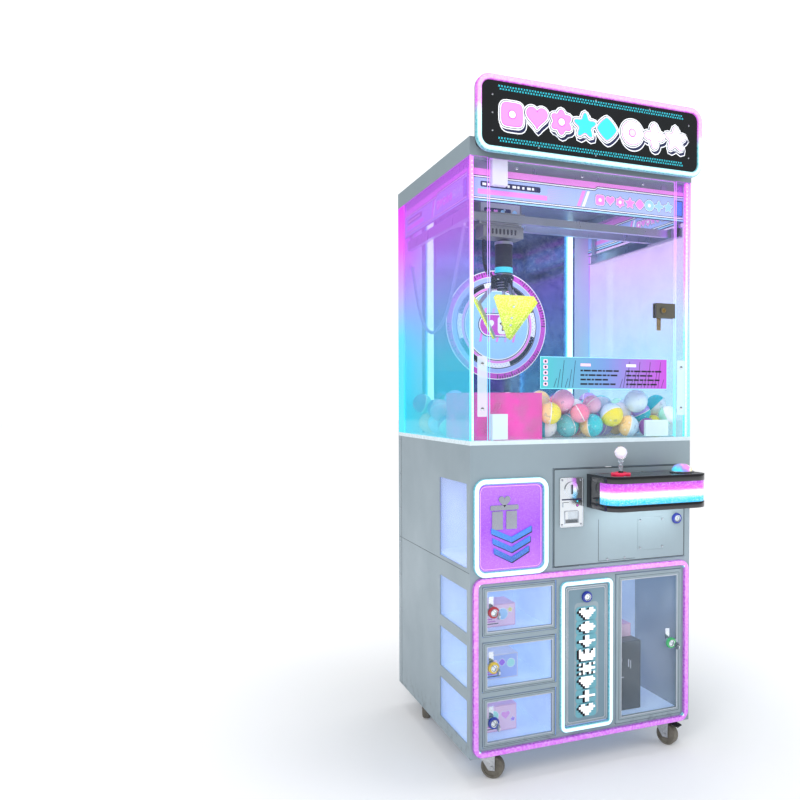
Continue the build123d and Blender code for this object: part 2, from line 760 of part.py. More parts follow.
def joystick():
    pivot = box_top - stick_pivot_drop
    half, pin_end = yoke_outer / 2, yoke_outer / 2 + 5
    yoke = slab((stick_x - half, stick_x + half), (stick_depth - half, stick_depth + half),
                (pivot - yoke_thickness / 2, pivot + yoke_thickness / 2))
    inner = yoke_inner / 2
    yoke -= slab((stick_x - inner, stick_x + inner), (stick_depth - inner, stick_depth + inner),
                 (pivot - yoke_thickness, pivot + yoke_thickness))
    for side in (-1, 1):
        yoke += bar((stick_x + side * inner, stick_depth, pivot), (stick_x + side * pin_end, stick_depth, pivot), 3)
    yoke -= bar((stick_x, stick_depth - half - 1, pivot), (stick_x, stick_depth + half + 1, pivot), 2.5 + running)
    save("joystick_gimbal", yoke)
    ball = box_top + stick_ball_rise
    stick = bar((stick_x, stick_depth, pivot - 26), (stick_x, stick_depth, ball), stick_radius)
    stick += Pos(*place(stick_x, stick_depth, pivot)) * Sphere(9)
    stick += Pos(*place(stick_x, stick_depth, ball)) * Sphere(stick_ball_radius)
    stick += bar((stick_x, stick_depth - half, pivot), (stick_x, stick_depth + half, pivot), 2.5)
    save("joystick", stick)


def start_button():
    low, rim = box_top - 16, box_top + 6
    cap = bar((button_x, stick_depth, low), (button_x, stick_depth, rim), button_radius - 0.3)
    dome_radius = (button_radius ** 2 + button_rise ** 2) / (2 * button_rise)
    dome = Pos(*place(button_x, stick_depth, rim + button_rise - 4 - dome_radius)) * Sphere(dome_radius)
    dome &= bar((button_x, stick_depth, rim - 1), (button_x, stick_depth, rim + 40), button_radius - 0.3)
    save("start_button", cap + dome)


def coin_acceptor():
    x, z = coin_place()
    front = -door_proud - 3
    plate = panel(x, (front, -door_proud), z, 5)
    body = slab(grown(x, -6), (-door_proud, coin_depth), grown(z, -6))
    unit = plate + body
    middle = (x[0] + x[1]) / 2
    disc_z, cup_z = z[1] - 34, z[0] + 12
    unit += bar((middle, front - 2.5, disc_z), (middle, front, disc_z), 22)
    unit -= slab((middle - 1.6, middle + 1.6), (front - 4, 20), (disc_z - 14, disc_z + 14))
    unit -= slab((middle - 20, middle + 20), (front - 1, 24), (cup_z, cup_z + 32))
    unit += slab((middle - 22, middle + 22), (front - 4, front), (cup_z - 5, cup_z))
    unit -= slab((x[0] + 9, x[0] + 29), (front - 1, 12), (z[0] + 58, z[0] + 72))
    save("coin_acceptor", unit)
    lever = slab((x[0] + 9.3, x[0] + 28.7), (front - 6, 2), (z[0] + 58.3, z[0] + 71.7))
    save("reject_lever", lever)


# Gantry and claw

def gantry_rails():
    rail = slab((-rail_outer, -rail_inner), (header_depth + 4, rail_end), (rail_bottom, rail_bottom + rail_height))
    rail -= slab((-rail_outer + rail_wall, 1 - rail_inner), (header_depth + 3, rail_end + 1),
                 (rail_bottom + rail_wall, rail_bottom + rail_height - rail_wall))
    for depth in (header_depth + 12, rail_end - 40):
        rail += slab((-rail_outer + 2, -rail_outer + 10), (depth, depth + 22),
                     (rail_bottom + rail_height, glass_top - top_beam))
    save("gantry_rails", rail, mirrored(rail))


def bridge():
    end_outer = rail_inner - 1
    end_plate = slab((-end_outer, 8 - end_outer), grown((bridge_home, bridge_home), bridge_half_spread + 20),
                     (rail_bottom + 1, rail_bottom + rail_height - 1))
    for way in (-1, 1):
        depth = bridge_home + way * 45
        end_plate += bar((-end_outer, depth, rail_middle), (-rail_inner - roller_width, depth, rail_middle),
                         roller_radius)
    frame = end_plate + mirrored(end_plate)
    for way in (-1, 1):
        depth = bridge_home + way * bridge_half_spread
        beam = grown((depth, depth), beam_width / 2)
        frame += slab((-end_outer, end_outer), beam, grown((rail_middle, rail_middle), beam_height / 2))
    frame += cord_gland(festoon_route[0], festoon_route[1], 12, festoon_radius + 2)
    save("gantry_bridge", frame)


def trolley():
    x = grown((trolley_x, trolley_x), trolley_width / 2)
    depth = grown((bridge_home, bridge_home), trolley_half_depth)
    wall = 2
    case = slab(x, depth, (trolley_bottom, trolley_top))
    lower_x, lower_depth = (claw_x - 77, claw_x + 50), grown(depth, -8)
    case += slab(lower_x, lower_depth, (motor_box_bottom, trolley_bottom + 1))
    case -= slab(grown(x, -wall), grown(depth, -wall), (trolley_bottom + wall, trolley_top - wall))
    case -= slab((x[0] + 20, lower_x[1] - 20), grown(lower_depth, -wall),
                 (motor_box_bottom + wall, trolley_bottom + wall + 1))
    shoe = rail_middle + beam_height / 2 + contact_gap
    flange = grown((bridge_home, bridge_home), bridge_half_spread + beam_width / 2 + 4)
    plates = slab(x, flange, (shoe, shoe + 3)) - slab(grown(x, -1), grown(depth, -1), (shoe - 1, shoe + 4))
    case += plates
    case -= bar((claw_x, bridge_home, motor_box_bottom - 1), (claw_x, bridge_home, motor_box_bottom + 9), 5)
    case -= bar((drum_x, depth[0] - 1, drum_z), (drum_x, depth[1] + 1, drum_z), 3 + running)
    case += cord_gland(coil_route[0], coil_route[1], motor_box_bottom + 1 - coil_route[0][2], coil_cord_radius + 2)
    motor_x = x[0] + 28
    motor = bar((motor_x, depth[0] + 8, drum_z), (motor_x, depth[1] - 8, drum_z), 20)
    motor += slab((motor_x - 10, motor_x + 10), grown(depth, -8), (drum_z + 10, trolley_top - wall))
    save("trolley", case, motor)


def winch_drum():
    depth = grown((bridge_home, bridge_home), trolley_half_depth)
    half = 16
    drum = bar((drum_x, bridge_home - half, drum_z), (drum_x, bridge_home + half, drum_z), drum_radius)
    for way in (-1, 1):
        drum += bar((drum_x, bridge_home + way * half, drum_z), (drum_x, bridge_home + way * (half + 2), drum_z),
                    drum_radius + 4)
    drum += bar((drum_x, depth[0] - 4, drum_z), (drum_x, depth[1] + 4, drum_z), 3)
    save("winch_drum", drum)


def hoist_cord():
    save("hoist_cord", bar((claw_x, bridge_home, solenoid_top), (claw_x, bridge_home, drum_z), cord_radius))


def around_claw(shape, angle):
    """Turn a piece, built with its reach along +X, to its place round the claw's axis."""
    return Pos(claw_x, front_y + bridge_home, 0) * Rot(0, 0, angle) * shape


def solenoid():
    centre = (claw_x, bridge_home)
    case = bar((*centre, solenoid_bottom), (*centre, solenoid_top - 12), solenoid_radius)
    case += bar((*centre, solenoid_top - 12), (*centre, solenoid_top), solenoid_radius - 8)
    case += bar((*centre, solenoid_bottom - 8), (*centre, solenoid_bottom), solenoid_radius + 4)
    case += bar((*centre, solenoid_bottom - hub_drop), (*centre, solenoid_bottom), hub_radius)
    for angle in arm_angles.values():
        low, high = arm_pivot_z - 7, solenoid_bottom - 4
        for side in (-1, 1):
            near = side * (arm_thickness / 2 + contact_gap)
            far = side * (arm_thickness / 2 + contact_gap + 3)
            cheek = Pos((hub_radius + arm_pivot_radius + 5) / 2 - 1, (near + far) / 2, (low + high) / 2)
            case += around_claw(cheek * Box(arm_pivot_radius + 7 - hub_radius, 3, high - low), angle)
        pin = Pos(arm_pivot_radius, 0, arm_pivot_z) * Rot(90, 0, 0) * Cylinder(arm_pin_radius, arm_thickness + 4)
        case += around_claw(pin, angle)
    case -= bar((*centre, solenoid_bottom - hub_drop - 1), (*centre, solenoid_bottom + 40), plunger_radius + running)
    case += cord_gland(coil_route[-1], coil_route[-2], 14, coil_cord_radius + 1)
    save("claw_solenoid", case)


def plunger():
    bottom = solenoid_bottom - hub_drop - 16
    centre = (claw_x, bridge_home)
    rod = bar((*centre, bottom), (*centre, solenoid_bottom + 26), plunger_radius)
    save("claw_plunger", rod + bar((*centre, bottom - 5), (*centre, bottom), 15))


def claw_arms():
    r, z = arm_pivot_radius, arm_pivot_z
    elbow = (r + elbow_reach, z - elbow_drop)
    tip = (r - tip_inset, z - tip_drop)
    half = 4.5
    outline = Polyline((r, z + half), (r + half, z + half), (elbow[0] + half, elbow[1] + half),
                       (elbow[0] + half, elbow[1] - half), (tip[0] + half, tip[1]), (tip[0] - half, tip[1]),
                       (elbow[0] - half, elbow[1]), (r - half, z - half), close=True)
    plane = Plane(origin=(0, arm_thickness / 2, 0), x_dir=(1, 0, 0), z_dir=(0, -1, 0))
    blade = extrude(plane * make_face(outline), amount=arm_thickness)
    blade += Pos(r, 0, z) * Rot(90, 0, 0) * Cylinder(6, arm_thickness)
    blade -= Pos(r, 0, z) * Rot(90, 0, 0) * Cylinder(arm_pin_radius + running, arm_thickness + 2)
    lean = atan2(elbow[0] - tip[0], elbow[1] - tip[1])
    outward = (cos(lean), 0, -sin(lean))
    along = (sin(lean), 0, cos(lean))
    low = (tip[0] + half, 0, tip[1] - 2)
    surface = Plane(origin=low, x_dir=(0, 1, 0), z_dir=outward)
    if surface.y_dir.dot(Vector(*along)) < 0:
        surface = Plane(origin=low, x_dir=(0, -1, 0), z_dir=outward)
    corners = Polyline((-3, 0), (3, 0), (fin_width / 2, fin_height - 8), (fin_width / 2 - 6, fin_height),
                       (6 - fin_width / 2, fin_height), (-fin_width / 2, fin_height - 8), close=True)
    fin = extrude(surface * make_face(corners), amount=fin_thickness)
    fin = Pos(-outward[0] * 1.5, 0, -outward[2] * 1.5) * fin
    for name, angle in arm_angles.items():
        save(f"claw_arm_{name}", around_claw(blade + fin, angle))


def cord(name, route, radius):
    """Tube of straight runs joined by the largest tangent arcs that the runs leave room for."""
    points = [place(*point) for point in route]
    radii = []
    for before, corner, after in zip(points, points[1:], points[2:]):
        arriving, leaving = corner - before, after - corner
        turn = radians(arriving.get_angle(leaving))
        radii.append(0.45 * min(arriving.length, leaving.length) / tan(turn / 2))
    path = FilletPolyline(*points, radius=radii)
    section = Plane(origin=points[0], z_dir=points[1] - points[0]) * Circle(radius)
    tube = sweep(section, path=path)
    print(name, "radii", [round(value) for value in radii], "length", round(path.length),
          "volume ratio", round(tube.volume / (pi * radius ** 2 * path.length), 4))
    save(name, tube)


# Casters

def turned(name, shape):
    """Turn a caster piece, built trailing along +X from its swivel, and move it to its corner."""
    x, depth = caster_places()[name]
    return Pos(x, front_y + depth, 0) * Rot(0, 0, park_angles[name]) * shape


def casters():
    head_top = plate_top - contact_gap
    head_bottom = wheel_radius * 2 + 4
    gap = wheel_width / 2 + 1
    align = (Align.CENTER, Align.CENTER, Align.MIN)
    fork = Pos(0, 0, head_bottom) * Cylinder(22, head_top - head_bottom, align=align)
    for side in (-1, 1):
        outline = Polyline((-16, head_top - 2), (38, head_top - 2), (wheel_trail + 9, wheel_radius - 8),
                           (wheel_trail - 9, wheel_radius - 8), close=True)
        plane = Plane(origin=(0, side * gap, 0), x_dir=(1, 0, 0), z_dir=(0, -1, 0))
        fork += extrude(plane * make_face(outline), amount=-side * fork_wall)
    fork += Pos(8, 0, (head_top - 2 + head_bottom) / 2) * Box(28, 2 * gap + 1, head_top - 2 - head_bottom)
    axle_length = 2 * (gap + fork_wall) + 4
    fork += Pos(wheel_trail, 0, wheel_radius) * Rot(90, 0, 0) * Cylinder(wheel_axle_radius, axle_length)
    fork -= Pos(0, 0, head_bottom - 1) * Cylinder(kingpin_radius + running, 20, align=align)
    tread = Rot(90, 0, 0) * Cylinder(wheel_radius, wheel_width)
    tread = fillet(tread.edges().filter_by(GeomType.CIRCLE), 4)
    wheel = tread - Rot(90, 0, 0) * Cylinder(wheel_axle_radius + running, wheel_width + 2)
    for side in (-1, 1):
        recess = Rot(90, 0, 0) * (Cylinder(wheel_radius - 8, 4) - Cylinder(11, 6))
        wheel -= Pos(0, side * wheel_width / 2, 0) * recess
    wheel = Pos(wheel_trail, 0, wheel_radius) * wheel
    pivot = (wheel_trail + 3, head_top - 5.5)
    pedal = Polyline((pivot[0] - 2, pivot[1] - 1.5), (pivot[0] + 8, pivot[1] - 1.5), (pivot[0] + 40, pivot[1] - 9),
                     (pivot[0] + 39, pivot[1] - 5.5), (pivot[0] + 8, pivot[1] + 2), (pivot[0] - 2, pivot[1] + 2),
                     close=True)
    brake_half = gap - contact_gap
    plane = Plane(origin=(0, brake_half, 0), x_dir=(1, 0, 0), z_dir=(0, -1, 0))
    brake = extrude(plane * make_face(pedal), amount=2 * brake_half)
    brake += Pos(pivot[0], 0, pivot[1]) * Rot(90, 0, 0) * Cylinder(2, 2 * gap + fork_wall)
    for name in caster_places():
        body = fork
        if name == brake_corner:
            body -= Pos(pivot[0], 0, pivot[1]) * Rot(90, 0, 0) * Cylinder(2 + running, axle_length + 4)
            save("caster_brake", turned(name, brake))
        save(f"caster_fork_{name}", turned(name, body))
        save(f"caster_wheel_{name}", turned(name, wheel))


base_frame()
side_panels()
fascia()
rear_frame()
deck()
liners()
electronics()
lights()
cabin_glass()
mirror_panel()
header_boards()
roof()
sign()
chute()
prize_balls()
locker_doors()
tall_door()
centre_door()
control_door()
prize_flap()
glass_door()
control_box()
joystick()
start_button()
coin_acceptor()
gantry_rails()
bridge()
trolley()
winch_drum()
hoist_cord()
solenoid()
plunger()
claw_arms()
cord("festoon_cable", festoon_route, festoon_radius)
cord("coil_cord", coil_route, coil_cord_radius)
casters()
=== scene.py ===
from math import cos, pi, radians, sin

import bmesh
import bpy
import numpy as np
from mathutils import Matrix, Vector


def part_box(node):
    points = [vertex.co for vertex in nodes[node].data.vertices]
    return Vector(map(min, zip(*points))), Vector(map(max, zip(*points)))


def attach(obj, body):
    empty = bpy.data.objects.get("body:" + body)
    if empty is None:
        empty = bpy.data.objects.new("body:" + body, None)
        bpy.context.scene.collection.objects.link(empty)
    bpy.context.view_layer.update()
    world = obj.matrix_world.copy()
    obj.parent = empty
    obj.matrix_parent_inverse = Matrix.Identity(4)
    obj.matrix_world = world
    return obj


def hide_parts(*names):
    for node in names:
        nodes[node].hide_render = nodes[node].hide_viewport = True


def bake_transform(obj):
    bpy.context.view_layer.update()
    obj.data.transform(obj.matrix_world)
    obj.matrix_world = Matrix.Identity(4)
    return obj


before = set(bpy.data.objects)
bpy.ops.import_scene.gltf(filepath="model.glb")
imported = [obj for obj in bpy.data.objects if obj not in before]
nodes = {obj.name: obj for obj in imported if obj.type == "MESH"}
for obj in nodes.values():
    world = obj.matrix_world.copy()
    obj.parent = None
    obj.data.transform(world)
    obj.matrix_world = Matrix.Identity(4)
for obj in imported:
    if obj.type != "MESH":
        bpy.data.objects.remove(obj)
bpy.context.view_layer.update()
mm = 0.001
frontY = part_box("front_fascia")[0].y  # the cabinet's front face
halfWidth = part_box("front_fascia")[1].x / mm
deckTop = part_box("cabin_deck")[1].z / mm
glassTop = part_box("cabin_glass")[1].z / mm
print("frame loaded,", len(nodes), "nodes")


# Places are given as in the workshop drawing: across, back from the front face, and up, in millimetres
def spots(x, d, z):
    x, d, z = np.broadcast_arrays(np.asarray(x, float), np.asarray(d, float), np.asarray(z, float))
    return np.stack([x * mm, frontY + d * mm, z * mm], axis=-1)


def nodeLimits(name):
    low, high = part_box(name)
    return [((a / mm), (b / mm)) for a, b in ((low.x, high.x), (low.y - frontY, high.y - frontY),
                                              (low.z, high.z))]


# quads between the neighbouring rows and columns of a grid of points, which may close on itself
def gridFaces(rows, columns, wrapRows=False, wrapColumns=False, first=0):
    i, j = np.meshgrid(np.arange(rows if wrapRows else rows - 1),
                       np.arange(columns if wrapColumns else columns - 1),
                       indexing="ij")
    downI, nextJ = (i + 1) % rows, (j + 1) % columns
    quads = [i * columns + j, i * columns + nextJ, downI * columns + nextJ, downI * columns + j]
    return (np.stack(quads, -1).reshape(-1, 4) + first).tolist()


# several (points, faces) parts become one object, doubles merged and every face turned outwards
def addPiece(name, parts, material, body, replaces=(), bevel=0, segments=2, smooth=35, merge=True):
    points, faces, total = [], [], 0
    for partPoints, partFaces in parts:
        points.append(np.asarray(partPoints, float).reshape(-1, 3))
        faces += [[index + total for index in face] for face in partFaces]
        total += len(points[-1])
    mesh = bpy.data.meshes.new(name)
    mesh.from_pydata(np.concatenate(points).tolist(), [], faces)
    if merge:
        work = bmesh.new()
        work.from_mesh(mesh)
        bmesh.ops.remove_doubles(work, verts=work.verts, dist=2e-6)
        bmesh.ops.recalc_face_normals(work, faces=work.faces)
        work.to_mesh(mesh)
        work.free()
    return finishPiece(bpy.data.objects.new(name, mesh), material, body, replaces, bevel, segments,
                       smooth)


def finishPiece(piece, material, body, replaces=(), bevel=0, segments=2, smooth=35):
    bpy.context.scene.collection.objects.link(piece)
    piece.data.materials.append(material)
    if smooth:
        piece.data.shade_smooth()
        piece.data.set_sharp_from_angle(angle=radians(smooth))
    if bevel:
        rounding = piece.modifiers.new("rounded edges", "BEVEL")
        rounding.width = bevel * mm
        rounding.segments = segments
        rounding.limit_method = "ANGLE"
        rounding.angle_limit = radians(40)
    if body:
        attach(piece, body)
    if replaces:
        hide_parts(*replaces)
    return piece


# a block is the eight corners of its limits
def blockPart(x, d, z):
    cx, cd, cz = np.meshgrid(x, d, z, indexing="ij")
    corners = spots(cx, cd, cz).reshape(-1, 3)
    return corners, [[0, 1, 3, 2], [4, 6, 7, 5], [0, 4, 5, 1], [2, 3, 7, 6], [0, 2, 6, 4], [1, 5, 7, 3]]


# a turned part: each (radius, height) of the profile is carried round the axis; frames are x, d or z
def turnedPart(centre, axis, profile, sides=32):
    profile = np.asarray(profile, float)
    angle = np.linspace(0, 2 * pi, sides, endpoint=False)
    radius, height = np.broadcast_arrays(profile[:, :1], profile[:, 1:])
    a, b, along = radius * np.cos(angle), radius * np.sin(angle), height + 0 * angle
    local = {"x": (along, a, b), "d": (a, along, b), "z": (a, b, along)}[axis]
    points = spots(centre[0] + local[0], centre[1] + local[1], centre[2] + local[2])
    faces = gridFaces(len(profile), sides, wrapColumns=True)
    if profile[0, 0] > 0:
        faces.append(list(range(sides)))
    if profile[-1, 0] > 0:
        faces.append([sides * (len(profile) - 1) + index for index in range(sides)])
    return points.reshape(-1, 3), faces


# a flat outline (u, v) carried straight from one depth to another; onto turns (u, v, out) into a place
def platePart(outline, onto, low, high):
    outline = np.asarray(outline, float)
    count = len(outline)
    u, v = outline[:, 0], outline[:, 1]
    points = np.concatenate([onto(u, v, np.full(count, low)), onto(u, v, np.full(count, high))])
    faces = gridFaces(2, count, wrapColumns=True)
    return points, faces + [list(range(count)), list(range(count, 2 * count))]


# a round section carried along a line of places, each turned with the line's own sideways
def tubePart(line, radius, sides=10, closed=False):
    line = np.asarray(line, float)
    tangent = np.gradient(line, axis=0)
    tangent /= np.linalg.norm(tangent, axis=1, keepdims=True)
    side = np.cross(tangent, [0.0123, 0.999, 0.0311])
    flat = np.linalg.norm(side, axis=1, keepdims=True) < 0.2
    side = np.where(flat, np.cross(tangent, [0.0, 0.02, 1.0]), side)
    side /= np.linalg.norm(side, axis=1, keepdims=True)
    over = np.cross(tangent, side)
    angle = np.linspace(0, 2 * pi, sides, endpoint=False)
    ring = side[:, None] * np.cos(angle)[:, None] + over[:, None] * np.sin(angle)[:, None]
    points = line[:, None] + ring * radius
    faces = gridFaces(len(line), sides, wrapColumns=True)
    if not closed:
        faces += [list(range(sides)), [sides * (len(line) - 1) + index for index in range(sides)]]
    return points.reshape(-1, 3), faces


def onFront(depth):
    return lambda u, v, out: spots(u, depth - out, v)


def onBack(depth):
    return lambda u, v, out: spots(u, depth + out, v)


def onTop(height):
    return lambda u, v, out: spots(u, v, height + out)


def onSide(across, way):
    return lambda u, v, out: spots(across + way * out, u, v)


def rectangle(u, v):
    return np.array([(u[0], v[0]), (u[1], v[0]), (u[1], v[1]), (u[0], v[1])], float)


# four quarter circles joined by straight sides
def roundedRectangle(u, v, corner, steps=8):
    turn = np.linspace(0, pi / 2, steps)
    centres = [(u[1] - corner, v[1] - corner, 0), (u[0] + corner, v[1] - corner, pi / 2),
               (u[0] + corner, v[0] + corner, pi), (u[1] - corner, v[0] + corner, 3 * pi / 2)]
    return np.concatenate([np.stack([cu + corner * np.cos(turn + start), cv + corner * np.sin(turn + start)],
                                    1)
                           for cu, cv, start in centres])


# part of a ring: the outer arc one way and the inner arc back
def arcBand(centre, inner, outer, start, stop, steps=40):
    turn = np.radians(np.linspace(start, stop, steps))
    way = np.stack([np.cos(turn), np.sin(turn)], 1)
    return np.concatenate([centre + outer * way, (centre + inner * way)[::-1]])


# radius as a function of angle draws each of the plain shapes
def plainShape(kind, centre, size, steps=96):
    turn = np.linspace(0, 2 * pi, steps, endpoint=False) + pi / 2
    if kind == "heart":
        u = 16 * np.sin(turn - pi / 2) ** 3
        v = (13 * np.cos(turn - pi / 2) - 5 * np.cos(2 * turn - pi) - 2 * np.cos(3 * turn - 1.5 * pi)
             - np.cos(4 * turn))
        return np.stack([centre[0] + size * u / 17, centre[1] + size * (v + 2.5) / 17], 1)
    radius = {
        "disc": np.ones(steps),
        "star": 0.80 + 0.24 * np.cos(5 * (turn - pi / 2)) + 0.05 * np.cos(10 * (turn - pi / 2)),
        "gem": 0.95 / (np.abs(np.cos(turn)) ** 1.25 + np.abs(np.sin(turn)) ** 1.25) ** 0.8,
        "tile": 0.92 / (np.abs(np.cos(turn)) ** 5 + np.abs(np.sin(turn)) ** 5) ** 0.2,
        "flower": 0.86 + 0.15 * np.cos(6 * (turn - pi / 2)),
        "cross": 0.78 + 0.26 * np.cos(4 * (turn - pi / 2)),
        "drop": 0.78 + 0.22 * np.sin(turn) ** 3 + 0.08 * np.cos(3 * (turn - pi / 2)),
    }[kind]
    return np.stack([centre[0] + size * radius * np.cos(turn), centre[1] + size * radius * np.sin(turn)], 1)


# each point moves outwards, square to the line through its two neighbours
def widened(outline, margin):
    along = np.roll(outline, -1, 0) - np.roll(outline, 1, 0)
    along /= np.linalg.norm(along, axis=1, keepdims=True)
    out = np.stack([along[:, 1], -along[:, 0]], 1)
    area = np.sum(outline[:, 0] * np.roll(outline[:, 1], -1) - np.roll(outline[:, 0], -1) * outline[:, 1])
    return outline + margin * np.sign(area) * out


# a printed picture: thin plates one ink layer above the next, each face coloured by its ink
def printPiece(name, shapes, onto, inks, material, body, lift=0.05, layer=0.12, replaces=()):
    points, faces, colours, total = [], [], [], 0
    for outline, ink, level in shapes:
        partPoints, partFaces = platePart(outline, onto, lift + level * layer, lift + (level + 1) * layer)
        points.append(partPoints)
        faces += [[index + total for index in face] for face in partFaces]
        total += len(partPoints)
        colours += [ink] * len(partFaces)
    mesh = bpy.data.meshes.new(name)
    mesh.from_pydata(np.concatenate(points).tolist(), [], faces)
    palette = np.array([(*inks[ink], 1.0) for ink in colours], np.float32)
    loops = np.repeat(palette, [len(face) for face in faces], axis=0)
    mesh.attributes.new("ink", "FLOAT_COLOR", "CORNER").data.foreach_set("color", loops.ravel())
    work = bmesh.new()
    work.from_mesh(mesh)
    bmesh.ops.recalc_face_normals(work, faces=work.faces)
    work.to_mesh(mesh)
    work.free()
    return finishPiece(bpy.data.objects.new(name, mesh), material, body, replaces, smooth=0)


def newMaterial(name):
    material = bpy.data.materials.new(name)
    material.use_nodes = True
    return material, material.node_tree, material.node_tree.nodes["Principled BSDF"]


# values fill the sockets in order: None leaves one alone and a socket is linked
def put(tree, kind, *values, **settings):
    node = tree.nodes.new(kind)
    for key, value in settings.items():
        setattr(node, key, value)
    for socket, value in zip(node.inputs, values):
        feed(tree, socket, value)
    return node


def feed(tree, socket, value):
    if isinstance(value, bpy.types.NodeSocket):
        tree.links.new(value, socket)
    elif value is not None:
        socket.default_value = value


def sums(tree, operation, *values, clamp=False):
    return put(tree, "ShaderNodeMath", *values, operation=operation, use_clamp=clamp).outputs[0]


def blendColours(tree, factor, first, second):
    node = tree.nodes.new("ShaderNodeMix")
    node.data_type = "RGBA"
    for index, value in ((0, factor), (6, first), (7, second)):
        feed(tree, node.inputs[index], (*value, 1) if isinstance(value, tuple) else value)
    return node.outputs[2]


def ramp(tree, factor, stops):
    node = put(tree, "ShaderNodeValToRGB", factor)
    while len(node.color_ramp.elements) < len(stops):
        node.color_ramp.elements.new(0.5)
    for element, (position, colour) in zip(node.color_ramp.elements, stops):
        element.position = position
        element.color = (*colour, 1)
    return node.outputs[0]


def between(tree, value, low, high, toLow=0.0, toHigh=1.0):
    return put(tree, "ShaderNodeMapRange", value, low, high, toLow, toHigh).outputs[0]


def objectPlace(tree):
    return tree.nodes.new("ShaderNodeTexCoord").outputs["Object"]


def axes(tree, vector=None):
    return put(tree, "ShaderNodeSeparateXYZ", vector or objectPlace(tree)).outputs


def bump(tree, shader, height, strength, distance=0.001):
    node = tree.nodes.new("ShaderNodeBump")
    node.inputs["Strength"].default_value = strength
    node.inputs["Distance"].default_value = distance
    tree.links.new(height, node.inputs["Height"])
    tree.links.new(node.outputs[0], shader.inputs["Normal"])


def settle(tree, shader, **values):
    for label, value in values.items():
        spaced = "".join(" " + letter if letter.isupper() and index else letter for index,
                         letter in enumerate(label))
        socket = shader.inputs[{"Ior": "IOR"}.get(label, spaced)]
        feed(tree, socket, (*value, 1) if isinstance(value, tuple) and len(value) == 3 else value)


def newGroup(name, inputs, outputs):
    group = bpy.data.node_groups.new(name, "ShaderNodeTree")
    for label, default in inputs:
        group.interface.new_socket(label, in_out="INPUT",
                                   socket_type="NodeSocketFloat").default_value = default
    for label in outputs:
        group.interface.new_socket(label, in_out="OUTPUT", socket_type="NodeSocketFloat")
    return group, group.nodes.new("NodeGroupInput").outputs, group.nodes.new("NodeGroupOutput").inputs


def useGroup(tree, group, **values):
    node = put(tree, "ShaderNodeGroup", node_tree=group)
    for label, value in values.items():
        feed(tree, node.inputs[label], value)
    return node.outputs


# fine texture of a coating, and slow patches where it was rubbed or is dusty
def makeCoatingGroup():
    group, given, out = newGroup("coatingTexture", [("Fine", 900.0), ("Broad", 5.0)], ["Height", "Patches"])
    place = objectPlace(group)
    fine = put(group, "ShaderNodeTexNoise", place, None, given["Fine"], 2.0, 0.55)
    broad = put(group, "ShaderNodeTexNoise", place, None, given["Broad"], 5.0, 0.6)
    group.links.new(fine.outputs[0], out["Height"])
    group.links.new(between(group, broad.outputs[0], 0.3, 0.7), out["Patches"])
    return group


# how far up between two heights, from 0 to 1
def makeRiseGroup():
    group, given, out = newGroup("riseBetween", [("Low", 0.0), ("High", 1.0)], ["Factor"])
    height = axes(group)[2]
    group.links.new(put(group, "ShaderNodeMapRange", height, given["Low"], given["High"]).outputs[0],
                    out["Factor"])
    return group


# loose flakes: one cell in a given share catches the light, each with a tone of its own
def makeFlakeGroup():
    group, given, out = newGroup("looseFlakes", [("Scale", 600.0), ("Share", 0.3)], ["Flake", "Tone"])
    cells = put(group, "ShaderNodeTexVoronoi", objectPlace(group), None, given["Scale"])
    red, green, _ = put(group, "ShaderNodeSeparateColor", cells.outputs["Color"]).outputs
    group.links.new(sums(group, "LESS_THAN", red, given["Share"]), out["Flake"])
    group.links.new(green, out["Tone"])
    return group


# faint smears left by hands and cloths, as a change of roughness
def makeSmearGroup():
    group, given, out = newGroup("handSmears", [("Scale", 9.0), ("Amount", 0.1), ("Roughness", 0.1)],
                                 ["Roughness"])
    stretched = put(group, "ShaderNodeMapping", objectPlace(group), None, (0.3, 0.5, 0.0),
                    (1.0, 1.0, 0.35)).outputs[0]
    noise = put(group, "ShaderNodeTexNoise", stretched, None, given["Scale"], 6.0, 0.65, None, None, 0.8)
    swing = sums(group, "MULTIPLY", between(group, noise.outputs[0], 0.35, 0.7), given["Amount"])
    group.links.new(sums(group, "ADD", swing, given["Roughness"]), out["Roughness"])
    return group


coatingGroup, riseGroup, flakeGroup, smearGroup = (makeCoatingGroup(), makeRiseGroup(), makeFlakeGroup(),
                                                   makeSmearGroup())


cabinetFinish = {"paint": (0.30, 0.375, 0.42), "worn": (0.25, 0.315, 0.355), "scuffTop": 0.16}


# powder-coated steel: orange-peel texture, slow patches, and scuffs near the floor
def makePowderCoat(name, paint, worn, roughness=0.34, metallic=0.25, fine=1500.0):
    material, tree, shader = newMaterial(name)
    texture = useGroup(tree, coatingGroup, Fine=fine, Broad=4.0)
    scuffs = put(tree, "ShaderNodeTexNoise", objectPlace(tree), None, 38.0, 8.0, 0.7)
    low = useGroup(tree, riseGroup, Low=cabinetFinish["scuffTop"], High=0.07)["Factor"]
    scuffed = sums(tree, "MULTIPLY", between(tree, scuffs.outputs[0], 0.52, 0.68), low)
    colour = blendColours(tree, sums(tree, "MULTIPLY", texture["Patches"], 0.55), paint, worn)
    colour = blendColours(tree, scuffed, colour, tuple(0.45 * tone for tone in worn))
    rough = sums(tree, "MULTIPLY_ADD", texture["Patches"], 0.12, roughness)
    settle(tree, shader, BaseColor=colour, Roughness=rough, Metallic=metallic)
    bump(tree, shader, texture["Height"], 0.25, 0.0002)
    return material


